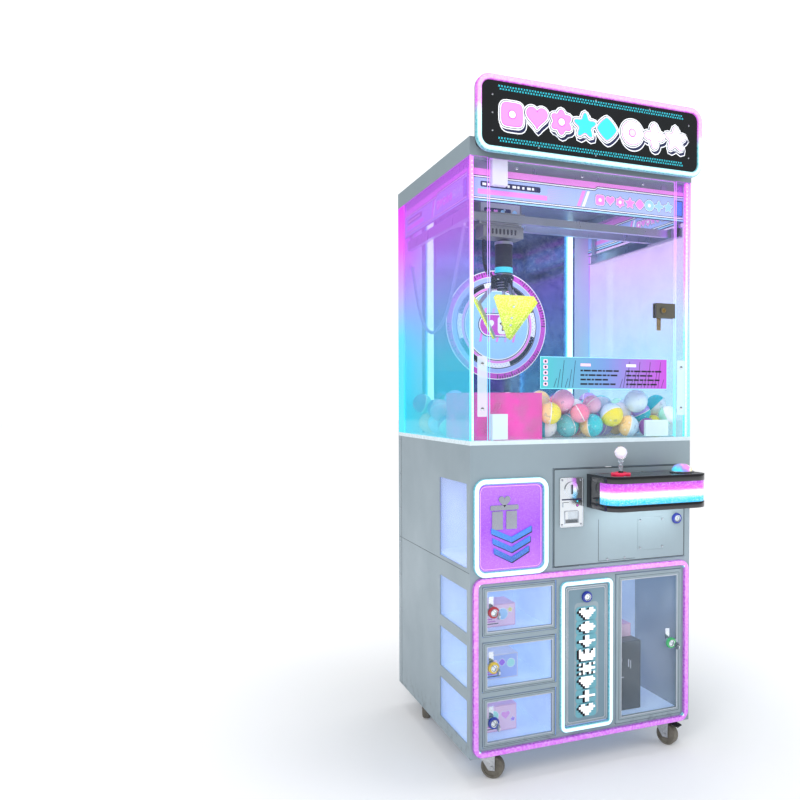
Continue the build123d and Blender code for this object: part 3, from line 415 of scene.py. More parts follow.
# bare and plated metals, with smears and a fine brushed or cast grain
def makeMetal(name, colour, roughness, grain=0.0, smear=0.08, metallic=1.0, spangle=0.0):
    material, tree, shader = newMaterial(name)
    rough = useGroup(tree, smearGroup, Scale=22.0, Amount=smear, Roughness=roughness)["Roughness"]
    tone = colour
    if spangle:
        cells = put(tree, "ShaderNodeTexVoronoi", objectPlace(tree), None, 260.0)
        shade = put(tree, "ShaderNodeSeparateColor", cells.outputs["Color"]).outputs[0]
        tone = blendColours(tree, sums(tree, "MULTIPLY", shade, spangle), colour,
                            tuple(0.5 * c for c in colour))
    else:
        patches = useGroup(tree, coatingGroup, Fine=400.0, Broad=26.0)["Patches"]
        tone = blendColours(tree, sums(tree, "MULTIPLY", patches, 0.3), colour,
                            tuple(0.72 * c for c in colour))
    settle(tree, shader, BaseColor=tone, Roughness=rough, Metallic=metallic)
    if grain:
        stretched = put(tree, "ShaderNodeMapping", objectPlace(tree), None, None, (1.0, 1.0, 0.04)).outputs[0]
        lines = put(tree, "ShaderNodeTexNoise", stretched, None, 2600.0, 3.0)
        bump(tree, shader, lines.outputs[0], grain, 0.0002)
    return material


# clear sheet: nearly invisible face on, with a tint that changes with height, painted lamp light from the
# corner strips, and, where a glow is given, a painted glow of that tint
def makeGlass(name, tints, clear, edge, glow=0.0):
    material, tree, shader = newMaterial(name)
    rise = useGroup(tree, riseGroup, Low=deckTop * mm, High=glassTop * mm)["Factor"]
    colour = ramp(tree, rise, tints)
    facing = put(tree, "ShaderNodeLayerWeight", 0.35).outputs["Facing"]
    smear = put(tree, "ShaderNodeTexNoise", objectPlace(tree), None, 7.0, 7.0, 0.6, None, None, 1.5)
    haze = sums(tree, "MULTIPLY", between(tree, smear.outputs[0], 0.45, 0.75), 0.05)
    alpha = sums(tree, "ADD", between(tree, sums(tree, "POWER", facing, 2.5), 0.0, 1.0, clear, edge), haze,
                 clamp=True)
    rough = useGroup(tree, smearGroup, Scale=8.0, Amount=0.06, Roughness=0.03)["Roughness"]
    settle(tree, shader, BaseColor=colour, Roughness=rough, Alpha=alpha)
    if glow:
        settle(tree, shader, EmissionColor=colour, EmissionStrength=glow)
    return material


# lit tube: the rounded shoulders are deeper in colour than the flat crown, and the colour changes with height
def makeNeon(name, crown, shoulder, low, high, strength):
    material, tree, shader = newMaterial(name)
    rise = useGroup(tree, riseGroup, Low=low * mm, High=high * mm)["Factor"]
    towards = axes(tree, tree.nodes.new("ShaderNodeTexCoord").outputs["Normal"])[1]
    flat = between(tree, towards, -0.55, -0.95)
    colour = blendColours(tree, flat, ramp(tree, rise, shoulder), ramp(tree, rise, crown))
    diodes = put(tree, "ShaderNodeTexNoise", objectPlace(tree), None, 160.0, 1.0)
    colour = blendColours(tree, between(tree, diodes.outputs[0], 0.3, 0.7, 0.0, 0.18), colour,
                          (0.9, 0.9, 1.0))
    settle(tree, shader, BaseColor=colour, EmissionColor=colour, EmissionStrength=strength, Roughness=0.35)
    return material


# moulded plastic with a soft skin, and, where a glow is given, a painted glow
def makePlastic(name, colour, roughness=0.35, fine=700.0, patch=0.8, glow=0.0, coat=0.0, dent=0.12):
    material, tree, shader = newMaterial(name)
    texture = useGroup(tree, coatingGroup, Fine=fine, Broad=30.0)
    tone = blendColours(tree, texture["Patches"], colour, tuple(patch * c for c in colour))
    rough = sums(tree, "MULTIPLY_ADD", texture["Patches"], 0.1, roughness)
    settle(tree, shader, BaseColor=tone, Roughness=rough, CoatWeight=coat)
    if glow:
        settle(tree, shader, EmissionColor=tone, EmissionStrength=glow)
    bump(tree, shader, texture["Height"], dent, 0.0002)
    return material


# print: ink colours come from the piece's own faces, with a faint screen of dots, uneven cover and a painted
# glow of the given strength
def makeInk(name, glow, roughness=0.3):
    material, tree, shader = newMaterial(name)
    ink = put(tree, "ShaderNodeAttribute", attribute_name="ink").outputs["Color"]
    cover = useGroup(tree, coatingGroup, Fine=1800.0, Broad=40.0)
    tone = blendColours(tree, sums(tree, "MULTIPLY", cover["Height"], 0.16), ink, (0.12, 0.12, 0.2))
    rough = sums(tree, "MULTIPLY_ADD", cover["Patches"], 0.15, roughness)
    settle(tree, shader, BaseColor=tone, Roughness=rough, EmissionColor=tone, EmissionStrength=glow)
    return material


# inside of a lit compartment: white lacquer, its colour tinted blue and given an even glow, both painted
# light from its lamp strip
def makePaintedLightLiner():
    material, tree, shader = newMaterial("paintedLightLiner")
    texture = useGroup(tree, coatingGroup, Fine=900.0, Broad=7.0)
    tone = blendColours(tree, texture["Patches"], (0.55, 0.72, 0.95), (0.42, 0.58, 0.86))
    settle(tree, shader, BaseColor=tone, Roughness=0.4, EmissionColor=tone, EmissionStrength=0.30)
    bump(tree, shader, texture["Height"], 0.1, 0.0002)
    return material


# glitter film with a painted glow, as if lit from behind: a colour that changes with height, scattered with
# flakes that a painted glint lightens towards the sparkle colour
def makeGlitter(name, stops, low, high, glow, scale=900.0, share=0.35, spread=0.5, sparkle=(1.0, 0.9, 1.0)):
    material, tree, shader = newMaterial(name)
    rise = useGroup(tree, riseGroup, Low=low * mm, High=high * mm)["Factor"]
    flakes = useGroup(tree, flakeGroup, Scale=scale, Share=share)
    shift = sums(tree, "MULTIPLY_ADD", sums(tree, "SUBTRACT", flakes["Tone"], 0.5), spread * 0.3, rise)
    colour = ramp(tree, shift, stops)
    lit = sums(tree, "MULTIPLY", flakes["Flake"], sums(tree, "MULTIPLY", flakes["Tone"], spread))
    colour = blendColours(tree, lit, colour, sparkle)
    rough = between(tree, flakes["Tone"], 0.0, 1.0, 0.15, 0.5)
    settle(tree, shader, BaseColor=colour, Roughness=rough, EmissionColor=colour, EmissionStrength=glow,
           CoatWeight=0.5)
    bump(tree, shader, flakes["Tone"], 0.2, 0.0003)
    return material


# mirror: its silvering tinted blue as a painted reflection of the cabin's lamp light, and slightly clouded
def makeMirror():
    material, tree, shader = newMaterial("silveredMirror")
    cloud = put(tree, "ShaderNodeTexNoise", objectPlace(tree), None, 60.0, 9.0, 0.75)
    tone = blendColours(tree, between(tree, cloud.outputs[0], 0.42, 0.62), (0.17, 0.24, 0.42),
                        (0.34, 0.44, 0.60))
    rough = useGroup(tree, smearGroup, Scale=5.0, Amount=0.12, Roughness=0.04)["Roughness"]
    settle(tree, shader, BaseColor=tone, Metallic=1.0, Roughness=rough)
    return material


# translucent acrylic: see-through on its faces, dense at its edges, with a painted glow
def makeAcrylic(name, colour, clear, glow):
    material, tree, shader = newMaterial(name)
    facing = put(tree, "ShaderNodeLayerWeight", 0.3).outputs["Facing"]
    flow = put(tree, "ShaderNodeTexNoise", objectPlace(tree), None, 12.0, 6.0, 0.6, None, None, 2.5)
    tone = blendColours(tree, between(tree, flow.outputs[0], 0.4, 0.65), colour,
                        tuple(0.45 * c + 0.1 for c in colour))
    alpha = between(tree, facing, 0.0, 1.0, clear, 0.95)
    settle(tree, shader, BaseColor=tone, Alpha=alpha, Roughness=0.08, EmissionColor=tone,
           EmissionStrength=glow)
    return material


# prize ball: two colours shared by its halves, a pale seam, soft printed blots and a faint painted glow
def makeBallVinyl():
    material, tree, shader = newMaterial("ballVinyl")
    shell = put(tree, "ShaderNodeAttribute", attribute_name="shell").outputs["Color"]
    place = objectPlace(tree)
    blots = put(tree, "ShaderNodeTexVoronoi", place, None, 46.0)
    ring = between(tree, blots.outputs["Distance"], 0.10, 0.20)
    marks = put(tree, "ShaderNodeTexNoise", place, None, 75.0, 3.0, 0.5)
    mark = between(tree, marks.outputs[0], 0.60, 0.66)
    tone = blendColours(tree, sums(tree, "MULTIPLY", sums(tree, "SUBTRACT", 1.0, ring), 0.45), shell,
                        (0.95, 0.95, 1))
    tone = blendColours(tree, sums(tree, "MULTIPLY", mark, 0.35), tone, (0.10, 0.12, 0.25))
    settle(tree, shader, BaseColor=tone, Roughness=between(tree, marks.outputs[0], 0.3, 0.7, 0.16, 0.34),
           CoatWeight=0.4, EmissionColor=tone, EmissionStrength=0.03)
    return material


# rubber tyre with a little road dust
def makeRubber(name, colour, dust, roughness=0.6, fine=500.0):
    material, tree, shader = newMaterial(name)
    texture = useGroup(tree, coatingGroup, Fine=fine, Broad=70.0)
    tone = blendColours(tree, texture["Patches"], colour, dust)
    settle(tree, shader, BaseColor=tone, Roughness=sums(tree, "MULTIPLY_ADD", texture["Patches"], 0.2,
                                                        roughness))
    bump(tree, shader, texture["Height"], 0.3, 0.0004)
    return material


# spiral-wrapped lead: the wrap climbs with the piece's own length and turn
def makeWrappedLead(name, colour, gap, turns):
    material, tree, shader = newMaterial(name)
    along, around = put(tree, "ShaderNodeSeparateXYZ",
                        tree.nodes.new("ShaderNodeUVMap").outputs[0]).outputs[:2]
    phase = sums(tree, "FRACT", sums(tree, "ADD", sums(tree, "MULTIPLY", along, turns), around))
    ridge = sums(tree, "SINE", sums(tree, "MULTIPLY", phase, pi))
    tone = blendColours(tree, between(tree, ridge, 0.15, 0.6), gap, colour)
    settle(tree, shader, BaseColor=tone, Roughness=between(tree, ridge, 0.0, 1.0, 0.7, 0.42))
    bump(tree, shader, ridge, 0.7, 0.001)
    return material


# clear casting, for the crystal knob and the clear stem
def makeCrystal(name, colour, roughness, glow=0.0):
    material, tree, shader = newMaterial(name)
    noise = put(tree, "ShaderNodeTexNoise", objectPlace(tree), None, 180.0, 3.0)
    tone = blendColours(tree, noise.outputs[0], colour, tuple(min(1.0, 0.9 * c + 0.1) for c in colour))
    settle(tree, shader, BaseColor=tone, Roughness=roughness, TransmissionWeight=0.85, Ior=1.46)
    if glow:
        settle(tree, shader, EmissionColor=tone, EmissionStrength=glow)
    bump(tree, shader, noise.outputs[0], 0.15, 0.0005)
    return material


# dome lit from below by a row of coloured lamps: the colour runs across it
def makeRainbow():
    material, tree, shader = newMaterial("rainbowDome")
    x, y, _ = axes(tree)
    swirl = put(tree, "ShaderNodeTexNoise", objectPlace(tree), None, 45.0, 3.0)
    share = between(tree, sums(tree, "ADD", x, sums(tree, "MULTIPLY", y, 0.35)), 0.130, 0.196)
    share = sums(tree, "MULTIPLY_ADD", sums(tree, "SUBTRACT", swirl.outputs[0], 0.5), 0.9, share)
    colour = ramp(tree, share, [(0.0, (0.10, 0.75, 0.95)), (0.25, (0.30, 0.30, 0.95)),
                                (0.45, (0.95, 0.25, 0.85)),
                                (0.62, (0.98, 0.90, 0.85)), (0.80, (0.95, 0.80, 0.15)),
                                (1.0, (0.20, 0.85, 0.60))])
    settle(tree, shader, BaseColor=colour, EmissionColor=colour, EmissionStrength=0.40, Roughness=0.08,
           CoatWeight=0.8)
    bump(tree, shader, swirl.outputs[0], 0.2, 0.0004)
    return material


# lit white column: lamp light of a changing colour falls on it from the outer corner
def makeColumnWash():
    material, tree, shader = newMaterial("washedColumn")
    rise = useGroup(tree, riseGroup, Low=deckTop * mm, High=glassTop * mm)["Factor"]
    wash = ramp(tree, rise, [(0.0, (0.02, 0.72, 0.86)), (0.42, (0.10, 0.70, 0.92)),
                             (0.60, (0.50, 0.42, 0.95)),
                             (0.82, (0.80, 0.10, 0.90)), (1.0, (0.72, 0.02, 0.85))])
    across = axes(tree)[0]
    outer = between(tree, sums(tree, "ABSOLUTE", across), 0.300, 0.345)
    leftward = between(tree, across, 0.1, -0.1, 0.25, 1.0)
    amount = sums(tree, "MULTIPLY", sums(tree, "MULTIPLY_ADD", outer, 0.75, 0.25), leftward)
    texture = useGroup(tree, coatingGroup, Fine=1100.0, Broad=9.0)
    tone = blendColours(tree, amount, (0.42, 0.50, 0.62), wash)
    settle(tree, shader, BaseColor=tone, Roughness=0.4, EmissionColor=tone, EmissionStrength=0.16)
    bump(tree, shader, texture["Height"], 0.15, 0.0002)
    return material


# glows given below to parts that are no lamps are painted glow: the deck, liner, column, glass, header
# boards, acrylic, ball vinyl, glitter films, cyan film, cartons and prints; the neons, lamp strip and button
# dome are lamps
paints = {
    "cabinet": makePowderCoat("cabinetPaint", cabinetFinish["paint"], cabinetFinish["worn"]),
    "frame": makePowderCoat("framePaint", (0.26, 0.28, 0.30), (0.20, 0.22, 0.24), 0.42),
    "board": makePlastic("deckLaminate", (0.62, 0.74, 0.80), 0.22, 300.0, 0.85, 0.12),
    "liner": makePaintedLightLiner(),
    "mirror": makeMirror(),
    "column": makeColumnWash(),
    # sideGlass, doorGlass and glassEdge: their height tints are painted light from the corner lamps;
    # sideGlass and glassEdge also carry it as a painted glow
    "sideGlass": makeGlass("sideGlass", [(0.0, (0.01, 0.62, 0.80)), (0.30, (0.05, 0.58, 0.80)),
                                         (0.55, (0.26, 0.34, 0.86)),
                                         (0.80, (0.50, 0.14, 0.85)), (1.0, (0.52, 0.09, 0.82))], 0.34, 0.62,
                           0.24),
    "doorGlass": makeGlass("doorGlass", [(0.0, (0.30, 0.60, 0.72)), (1.0, (0.40, 0.36, 0.75))], 0.03, 0.40),
    "paneGlass": makeGlass("paneGlass", [(0.0, (0.7, 0.85, 1.0)), (1.0, (0.7, 0.85, 1.0))], 0.06, 0.5),
    "glassEdge": makeGlass("glassEdge", [(0.0, (0.10, 0.85, 0.95)), (0.45, (0.45, 0.72, 1.0)),
                                         (0.7, (0.70, 0.40, 1.0)),
                                         (1.0, (0.80, 0.25, 1.0))], 0.75, 0.9, 0.75),
    "pinkNeon": makeNeon("pinkNeon", [(0.0, (0.46, 0.10, 0.60)), (1.0, (0.56, 0.17, 0.66))],
                         [(0.0, (0.20, 0.01, 0.34)), (1.0, (0.26, 0.02, 0.38))], 80, 590, 0.50),
    "whiteNeon": makeNeon("whiteNeon", [(0.0, (0.62, 0.90, 0.92)), (1.0, (0.70, 0.92, 0.94))],
                          [(0.0, (0.04, 0.28, 0.36)), (1.0, (0.05, 0.30, 0.38))], 80, 860, 0.62),
    "signNeon": makeNeon("signNeon", [(0.0, (0.42, 0.84, 0.88)), (0.46, (0.60, 0.88, 0.92)),
                                      (0.62, (0.66, 0.28, 0.74)),
                                      (1.0, (0.70, 0.30, 0.72))],
                         [(0.0, (0.02, 0.22, 0.26)), (0.46, (0.05, 0.30, 0.36)), (0.62, (0.40, 0.03, 0.48)),
                          (1.0, (0.42, 0.03, 0.48))], 1744, 1950, 0.62),
    "cornerNeon": makeNeon("cornerNeon", [(0.0, (0.35, 0.95, 1.0)), (0.40, (0.45, 0.85, 1.0)),
                                          (0.62, (0.80, 0.40, 1.0)),
                                          (1.0, (0.85, 0.15, 1.0))],
                           [(0.0, (0.0, 0.55, 0.75)), (0.40, (0.1, 0.5, 0.9)), (0.62, (0.5, 0.1, 0.9)),
                            (1.0, (0.55, 0.02, 0.75))], 964, 1743, 1.3),
    "rearNeon": makeNeon("rearNeon", [(0.0, (0.55, 0.95, 1.0)), (1.0, (0.60, 0.90, 1.0))],
                         [(0.0, (0.05, 0.6, 0.85)), (1.0, (0.1, 0.5, 0.9))], 964, 1743, 1.1),
    "signShell": makePlastic("signShell", (0.012, 0.018, 0.035), 0.28, 900.0, 0.6),
    "signPanel": makePlastic("signPanel", (0.004, 0.006, 0.008), 0.06, 200.0, 0.6, coat=0.6, dent=0.02),
    "acrylic": makeAcrylic("pinkAcrylic", (0.86, 0.05, 0.48), 0.50, 0.35),
    "vinyl": makeBallVinyl(),
    "zinc": makeMetal("zincPlate", (0.62, 0.64, 0.66), 0.30, 0.0, 0.15, spangle=0.45),
    "blackMetal": makePowderCoat("blackPowder", (0.012, 0.013, 0.016), (0.02, 0.02, 0.024), 0.4, 0.2, 1200.0),
    "chrome": makeMetal("chromeTrim", (0.80, 0.84, 0.88), 0.08, 0.0, 0.10),
    "steel": makeMetal("brushedSteel", (0.56, 0.60, 0.66), 0.26, 0.35, 0.12),
    "brass": makeMetal("wornBrass", (0.66, 0.44, 0.16), 0.24, 0.15, 0.2),
    "blackGloss": makePlastic("blackGloss", (0.006, 0.006, 0.010), 0.12, 500.0, 0.6, coat=0.5, dent=0.04),
    "header": makePlastic("headerBoard", (0.34, 0.20, 0.62), 0.3, 800.0, 0.8, 0.25),
    "whitePlastic": makePlastic("whitePlastic", (0.62, 0.66, 0.70), 0.32, 600.0, 0.85),
    "greyPlastic": makePlastic("greyPlastic", (0.20, 0.21, 0.22), 0.42, 500.0, 0.8),
    "oliveMetal": makePowderCoat("oliveLockCase", (0.18, 0.17, 0.14), (0.12, 0.115, 0.10), 0.38, 0.6, 900.0),
    "fin": makeGlitter("finAcrylic", [(0.0, (0.42, 0.62, 0.0)), (0.5, (0.66, 0.80, 0.0)),
                                      (1.0, (0.80, 0.90, 0.03))],
                       1270, 1400, 0.30, 420.0, 0.45, 0.9, (0.98, 1.0, 0.35)),
    "flap": makeGlitter("violetFlap", [(0.0, (0.40, 0.12, 0.80)), (0.5, (0.27, 0.05, 0.70)),
                                       (1.0, (0.36, 0.12, 0.76))],
                        602, 841, 0.34, 800.0, 0.30, 0.30, (0.65, 0.42, 1.0)),
    "boxFilm": makeGlitter("boxFilm", [(0.0, (0.0, 0.34, 0.66)), (0.26, (0.02, 0.48, 0.74)),
                                       (0.40, (0.80, 0.92, 0.95)),
                                       (0.50, (0.95, 0.80, 0.95)), (0.62, (0.56, 0.06, 0.70)),
                                       (1.0, (0.26, 0.0, 0.38))],
                           778, 848, 0.62, 700.0, 0.35, 0.32),
    "crystal": makeCrystal("crystal", (1.0, 0.94, 0.97), 0.04),
    "clearStem": makeCrystal("clearStem", (0.85, 0.92, 1.0), 0.1),
    "tyre": makeRubber("greyTyre", (0.115, 0.105, 0.085), (0.20, 0.185, 0.155)),
    "blackRubber": makeRubber("blackRubber", (0.012, 0.012, 0.014), (0.035, 0.034, 0.034), 0.45, 900.0),
    "festoon": makeWrappedLead("wrappedLead", (0.36, 0.36, 0.56), (0.07, 0.07, 0.14), 120.0),
    "curly": makeWrappedLead("curlyLead", (0.02, 0.02, 0.026), (0.012, 0.012, 0.015), 60.0),
    "line": makeWrappedLead("liftingLine", (0.55, 0.54, 0.50), (0.28, 0.27, 0.25), 90.0),
    "ink": makeInk("litPrint", 0.14),
    "darkInk": makeInk("plainPrint", 0.12),
    "signInk": makeInk("signPrint", 0.22),
    "iconInk": makeInk("lampPrint", 0.35),
    "silverArt": makeMetal("brushedSilver", (0.40, 0.42, 0.50), 0.22, 0.3, 0.12),
    "navyPlastic": makePlastic("navyPlastic", (0.006, 0.012, 0.05), 0.25, 700.0, 0.7, coat=0.4),
    "blueArt": makeGlitter("blueChevron", [(0.0, (0.02, 0.08, 0.38)), (1.0, (0.03, 0.18, 0.62))], 620, 700,
                           0.35, 900.0, 0.3, 0.3,
                           (0.3, 0.5, 1.0)),
    "violetTrim": makeGlitter("violetTrim", [(0.0, (0.55, 0.22, 0.95)), (1.0, (0.62, 0.26, 0.95))], 600, 845,
                              0.6, 900.0, 0.3, 0.3),
    "tealField": makePowderCoat("tealField", (0.20, 0.30, 0.36), (0.14, 0.22, 0.28), 0.30),
    "lampWhite": makeNeon("lampWhite", [(0.0, (0.9, 1.0, 1.0)), (1.0, (0.9, 1.0, 1.0))],
                          [(0.0, (0.7, 0.95, 1.0)), (1.0, (0.7, 0.95, 1.0))],
                          750, 770, 1.6),
    "redGlow": makePlastic("redGlow", (0.85, 0.03, 0.10), 0.15, 500.0, 0.5, 0.55, 0.6),
    "sparkle": makeGlitter("sparkle", [(0.0, (0.95, 0.75, 0.92)), (0.5, (0.75, 0.85, 1.0)),
                                       (1.0, (1.0, 0.92, 0.85))], 905, 948, 0.55, 420.0, 0.6,
                           0.8),
    "rainbowDome": makeRainbow(),
    "cyanFilm": makePlastic("cyanFilm", (0.05, 0.62, 0.78), 0.25, 700.0, 0.8, 0.3),
    "redRing": makePlastic("redRing", (0.42, 0.03, 0.05), 0.2, 700.0, 0.75, coat=0.5),
    "yellowRing": makePlastic("yellowRing", (0.66, 0.48, 0.05), 0.2, 700.0, 0.75, coat=0.5),
    "greenRing": makePlastic("greenRing", (0.05, 0.42, 0.14), 0.2, 700.0, 0.75, coat=0.5),
    "blueRing": makePlastic("blueRing", (0.02, 0.04, 0.34), 0.2, 700.0, 0.75, coat=0.5),
    "cartonPink": makePlastic("pinkCarton", (0.80, 0.42, 0.66), 0.45, 500.0, 0.85, 0.15),
    "cartonCream": makePlastic("creamCarton", (0.74, 0.70, 0.78), 0.45, 500.0, 0.85, 0.15),
    "blackCarton": makePlastic("blackCarton", (0.010, 0.011, 0.016), 0.35, 600.0, 0.7),
    "shadowLine": makePlastic("shadowLine", (0.035, 0.045, 0.055), 0.5, 600.0, 0.8),
    # clearTrim: its height tint and faint glow are painted lamp light
    "clearTrim": makeGlass("clearTrim", [(0.0, (0.70, 0.88, 0.92)), (1.0, (0.80, 0.78, 0.95))], 0.55, 0.85,
                           0.12),
}
print("finishes made:", len(paints))


nodeFinish = {
    "base_frame": "frame", "cabin_deck": "board", "cabin_glass": "sideGlass", "caster_brake": "blackMetal",
    "centre_door": "cabinet", "centre_lock": "chrome", "chute_box": "acrylic", "claw_arm_front": "zinc",
    "claw_arm_left": "zinc", "claw_arm_right": "zinc", "claw_plunger": "chrome",
    "claw_solenoid": "blackMetal",
    "coin_acceptor": "chrome", "control_box": "blackGloss", "control_door": "cabinet",
    "control_lock": "chrome",
    "electronics": "greyPlastic", "front_fascia": "cabinet", "gantry_bridge": "steel",
    "stick_bracket": "zinc", "gantry_rails": "steel",
    "glass_door": "doorGlass", "glass_door_fittings": "clearTrim", "glass_lock": "brass",
    "header_boards": "header", "inner_liners": "liner", "joystick": "clearStem",
    "joystick_gimbal": "greyPlastic",
    "light_tubes": "whiteNeon", "mirror_panel": "mirror", "prize_flap": "flap", "rear_frame": "cabinet",
    "reject_lever": "chrome", "roof_cover": "cabinet", "side_panel_left": "cabinet",
    "side_panel_right": "cabinet",
    "sign_box": "signShell", "sign_face": "signPanel", "start_button": "whitePlastic", "tall_door": "cabinet",
    "tall_lock": "chrome", "trolley": "greyPlastic", "winch_drum": "steel",
    "locker_door_bottom": "cabinet", "locker_door_middle": "cabinet", "locker_door_top": "cabinet",
    "locker_lock_bottom": "chrome", "locker_lock_middle": "chrome", "locker_lock_top": "chrome",
    "caster_fork_front_left": "zinc", "caster_fork_front_right": "zinc", "caster_fork_rear_left": "zinc",
    "caster_fork_rear_right": "zinc", "caster_wheel_front_left": "tyre", "caster_wheel_front_right": "tyre",
    "caster_wheel_rear_left": "tyre", "caster_wheel_rear_right": "tyre", "prize_balls": "vinyl",
    "festoon_cable": "festoon", "coil_cord": "curly", "hoist_cord": "line",
}


# centres and outward directions of a node's faces, in drawing millimetres
def faceFacts(name):
    mesh = nodes[name].data
    count = len(mesh.polygons)
    centre, normal = np.zeros(count * 3), np.zeros(count * 3)
    mesh.polygons.foreach_get("center", centre)
    mesh.polygons.foreach_get("normal", normal)
    centre = centre.reshape(-1, 3) / mm
    centre[:, 1] -= frontY / mm
    return centre, normal.reshape(-1, 3)


# finish of a node, with further finishes on the faces that each mask picks
def dress(name, finish, *others):
    mesh = nodes[name].data
    mesh.materials.clear()
    mesh.materials.append(paints[finish])
    index = np.zeros(len(mesh.polygons), np.int32)
    for number, (mask, other) in enumerate(others, 1):
        mesh.materials.append(paints[other])
        index[mask] = number
    mesh.polygons.foreach_set("material_index", index)


for nodeName, finish in nodeFinish.items():
    dress(nodeName, finish)


def dressGlassAndLights():
    c, n = faceFacts("cabin_glass")
    below = c[:, 2] < deckTop - 1
    strips = ~below & (np.abs(c[:, 0]) < halfWidth - 5.5)
    # the edge faces take glassEdge, a painted glow of the corner lamps' light
    edge = ~below & np.where(strips, np.abs(n[:, 1]) < 0.5, np.abs(n[:, 0]) < 0.5)
    dress("cabin_glass", "sideGlass", (strips, "doorGlass"), (below, "paneGlass"), (edge, "glassEdge"))
    c, n = faceFacts("glass_door")
    dress("glass_door", "doorGlass", (np.abs(n[:, 1]) < 0.5, "glassEdge"))
    c, n = faceFacts("light_tubes")
    x, d, z = np.abs(c[:, 0]), c[:, 1], c[:, 2]
    sign, cabin = z > glassTop + 0.5, (z > deckTop - 1) & (z < glassTop + 0.5) & (d > 0)
    lower = ~sign & ~cabin & ((x > 341) | (z > 567) & (z < 584.5) | (z < 101)) & (z < 584.5)
    dress("light_tubes", "whiteNeon", (sign, "signNeon"), (cabin & (d < 300), "cornerNeon"),
          (cabin & (d > 300), "rearNeon"), (lower, "pinkNeon"))
    for row in ("top", "middle", "bottom"):
        c, n = faceFacts("locker_door_" + row)
        dressPane("locker_door_" + row, c, n)
    c, n = faceFacts("tall_door")
    dressPane("tall_door", c, n)
    c, n = faceFacts("rear_frame")
    inside = (c[:, 2] > deckTop - 2) & (c[:, 1] < nodeLimits("rear_frame")[1][1] - 4)
    dress("rear_frame", "cabinet", (inside, "column"))
    c, n = faceFacts("glass_door_fittings")
    lockBlock = (c[:, 0] > 230) & (np.abs(c[:, 2] - 1347) < 23)
    dress("glass_door_fittings", "clearTrim", (lockBlock, "oliveMetal"))
    c, n = faceFacts("roof_cover")
    beams = c[:, 2] < glassTop - 0.5
    dress("roof_cover", "cabinet", (beams, "steel"))


# the sheet in a door lies at its own depth, inside the door's frame
def dressPane(name, c, n):
    flat = np.abs(n[:, 1]) > 0.9
    behind = flat & ((np.abs(c[:, 1] - 5) < 0.3) | (np.abs(c[:, 1] - 8) < 0.3))
    dress(name, "cabinet", (behind, "paneGlass"))


dressGlassAndLights()
print("nodes dressed")


cordRoutes = {
    "festoon": [(-336, 118, 1579), (-336, 142, 1530), (-336, 182, 1460), (-336, 228, 1383), (-336, 300, 1312),
                (-336, 398, 1284), (-336, 490, 1318), (-336, 552, 1394), (-336, 590, 1478),
                (-336, 618, 1530)],
    "curly": [(-270, 130, 1545), (-270, 130, 1509), (-268, 130, 1473), (-259, 130, 1448), (-243, 130, 1437)],
    "hoist": [(-207, 130, 1625), (-207, 130, 1600), (-207, 130, 1572), (-207, 130, 1545)],
}
cordSizes = {"festoonDiameter": 0.010, "festoonLength": 0.767, "curlyWire": 0.0030, "curlyRadius": 0.0052,
             "curlyTurns": 26, "hoistDiameter": 0.0024, "hoistLength": 0.080}


# points along the smooth line that a route's points pull
def smoothLine(route, resolution=24):
    curve = bpy.data.curves.new("route", "CURVE")
    curve.dimensions = "3D"
    curve.resolution_u = resolution
    spline = curve.splines.new("NURBS")
    spline.points.add(len(route) - 1)
    for point, place in zip(spline.points, spots(*np.array(route, float).T)):
        point.co = (*place, 1)
    spline.order_u = 3
    spline.use_endpoint_u = True
    holder = bpy.data.objects.new("route", curve)
    bpy.context.scene.collection.objects.link(holder)
    mesh = bpy.data.meshes.new_from_object(holder)
    line = np.zeros(len(mesh.vertices) * 3)
    mesh.vertices.foreach_get("co", line)
    bpy.data.objects.remove(holder)
    bpy.data.meshes.remove(mesh)
    return line.reshape(-1, 3)


# places at equal steps along a line
def evenly(line, count):
    run = np.concatenate([[0], np.cumsum(np.linalg.norm(np.diff(line, axis=0), axis=1))])
    at = np.linspace(0, run[-1], count)
    return np.stack([np.interp(at, run, line[:, axis]) for axis in range(3)], 1)


# a tube with its own map: u along the cord and v round it
def cordPiece(name, line, radius, sides, material, replaces):
    points, faces = tubePart(line, radius, sides)
    piece = addPiece(name, [(points, faces)], material, None, replaces, smooth=60, merge=False)
    count = len(line)
    loopVertex = np.zeros(len(piece.data.loops), np.int32)
    piece.data.loops.foreach_get("vertex_index", loopVertex)
    along, around = (loopVertex // sides) / (count - 1), (loopVertex % sides) / sides
    faceStart = np.zeros(len(piece.data.polygons), np.int32)
    faceTotal = np.zeros(len(piece.data.polygons), np.int32)
    piece.data.polygons.foreach_get("loop_start", faceStart)
    piece.data.polygons.foreach_get("loop_total", faceTotal)
    face = np.repeat(np.arange(len(faceStart)), faceTotal)
    top = np.zeros(len(faceStart))
    np.maximum.at(top, face, around)
    around = np.where((around == 0) & (top[face] > 0.6) & (faceTotal[face] == 4), 1.0, around)
    uv = piece.data.uv_layers.new(name="UVMap")
    uv.data.foreach_set("uv", np.stack([along, around], 1).astype(np.float32).ravel())
    work = bmesh.new()
    work.from_mesh(piece.data)
    bmesh.ops.recalc_face_normals(work, faces=work.faces)
    work.to_mesh(piece.data)
    work.free()
    return piece


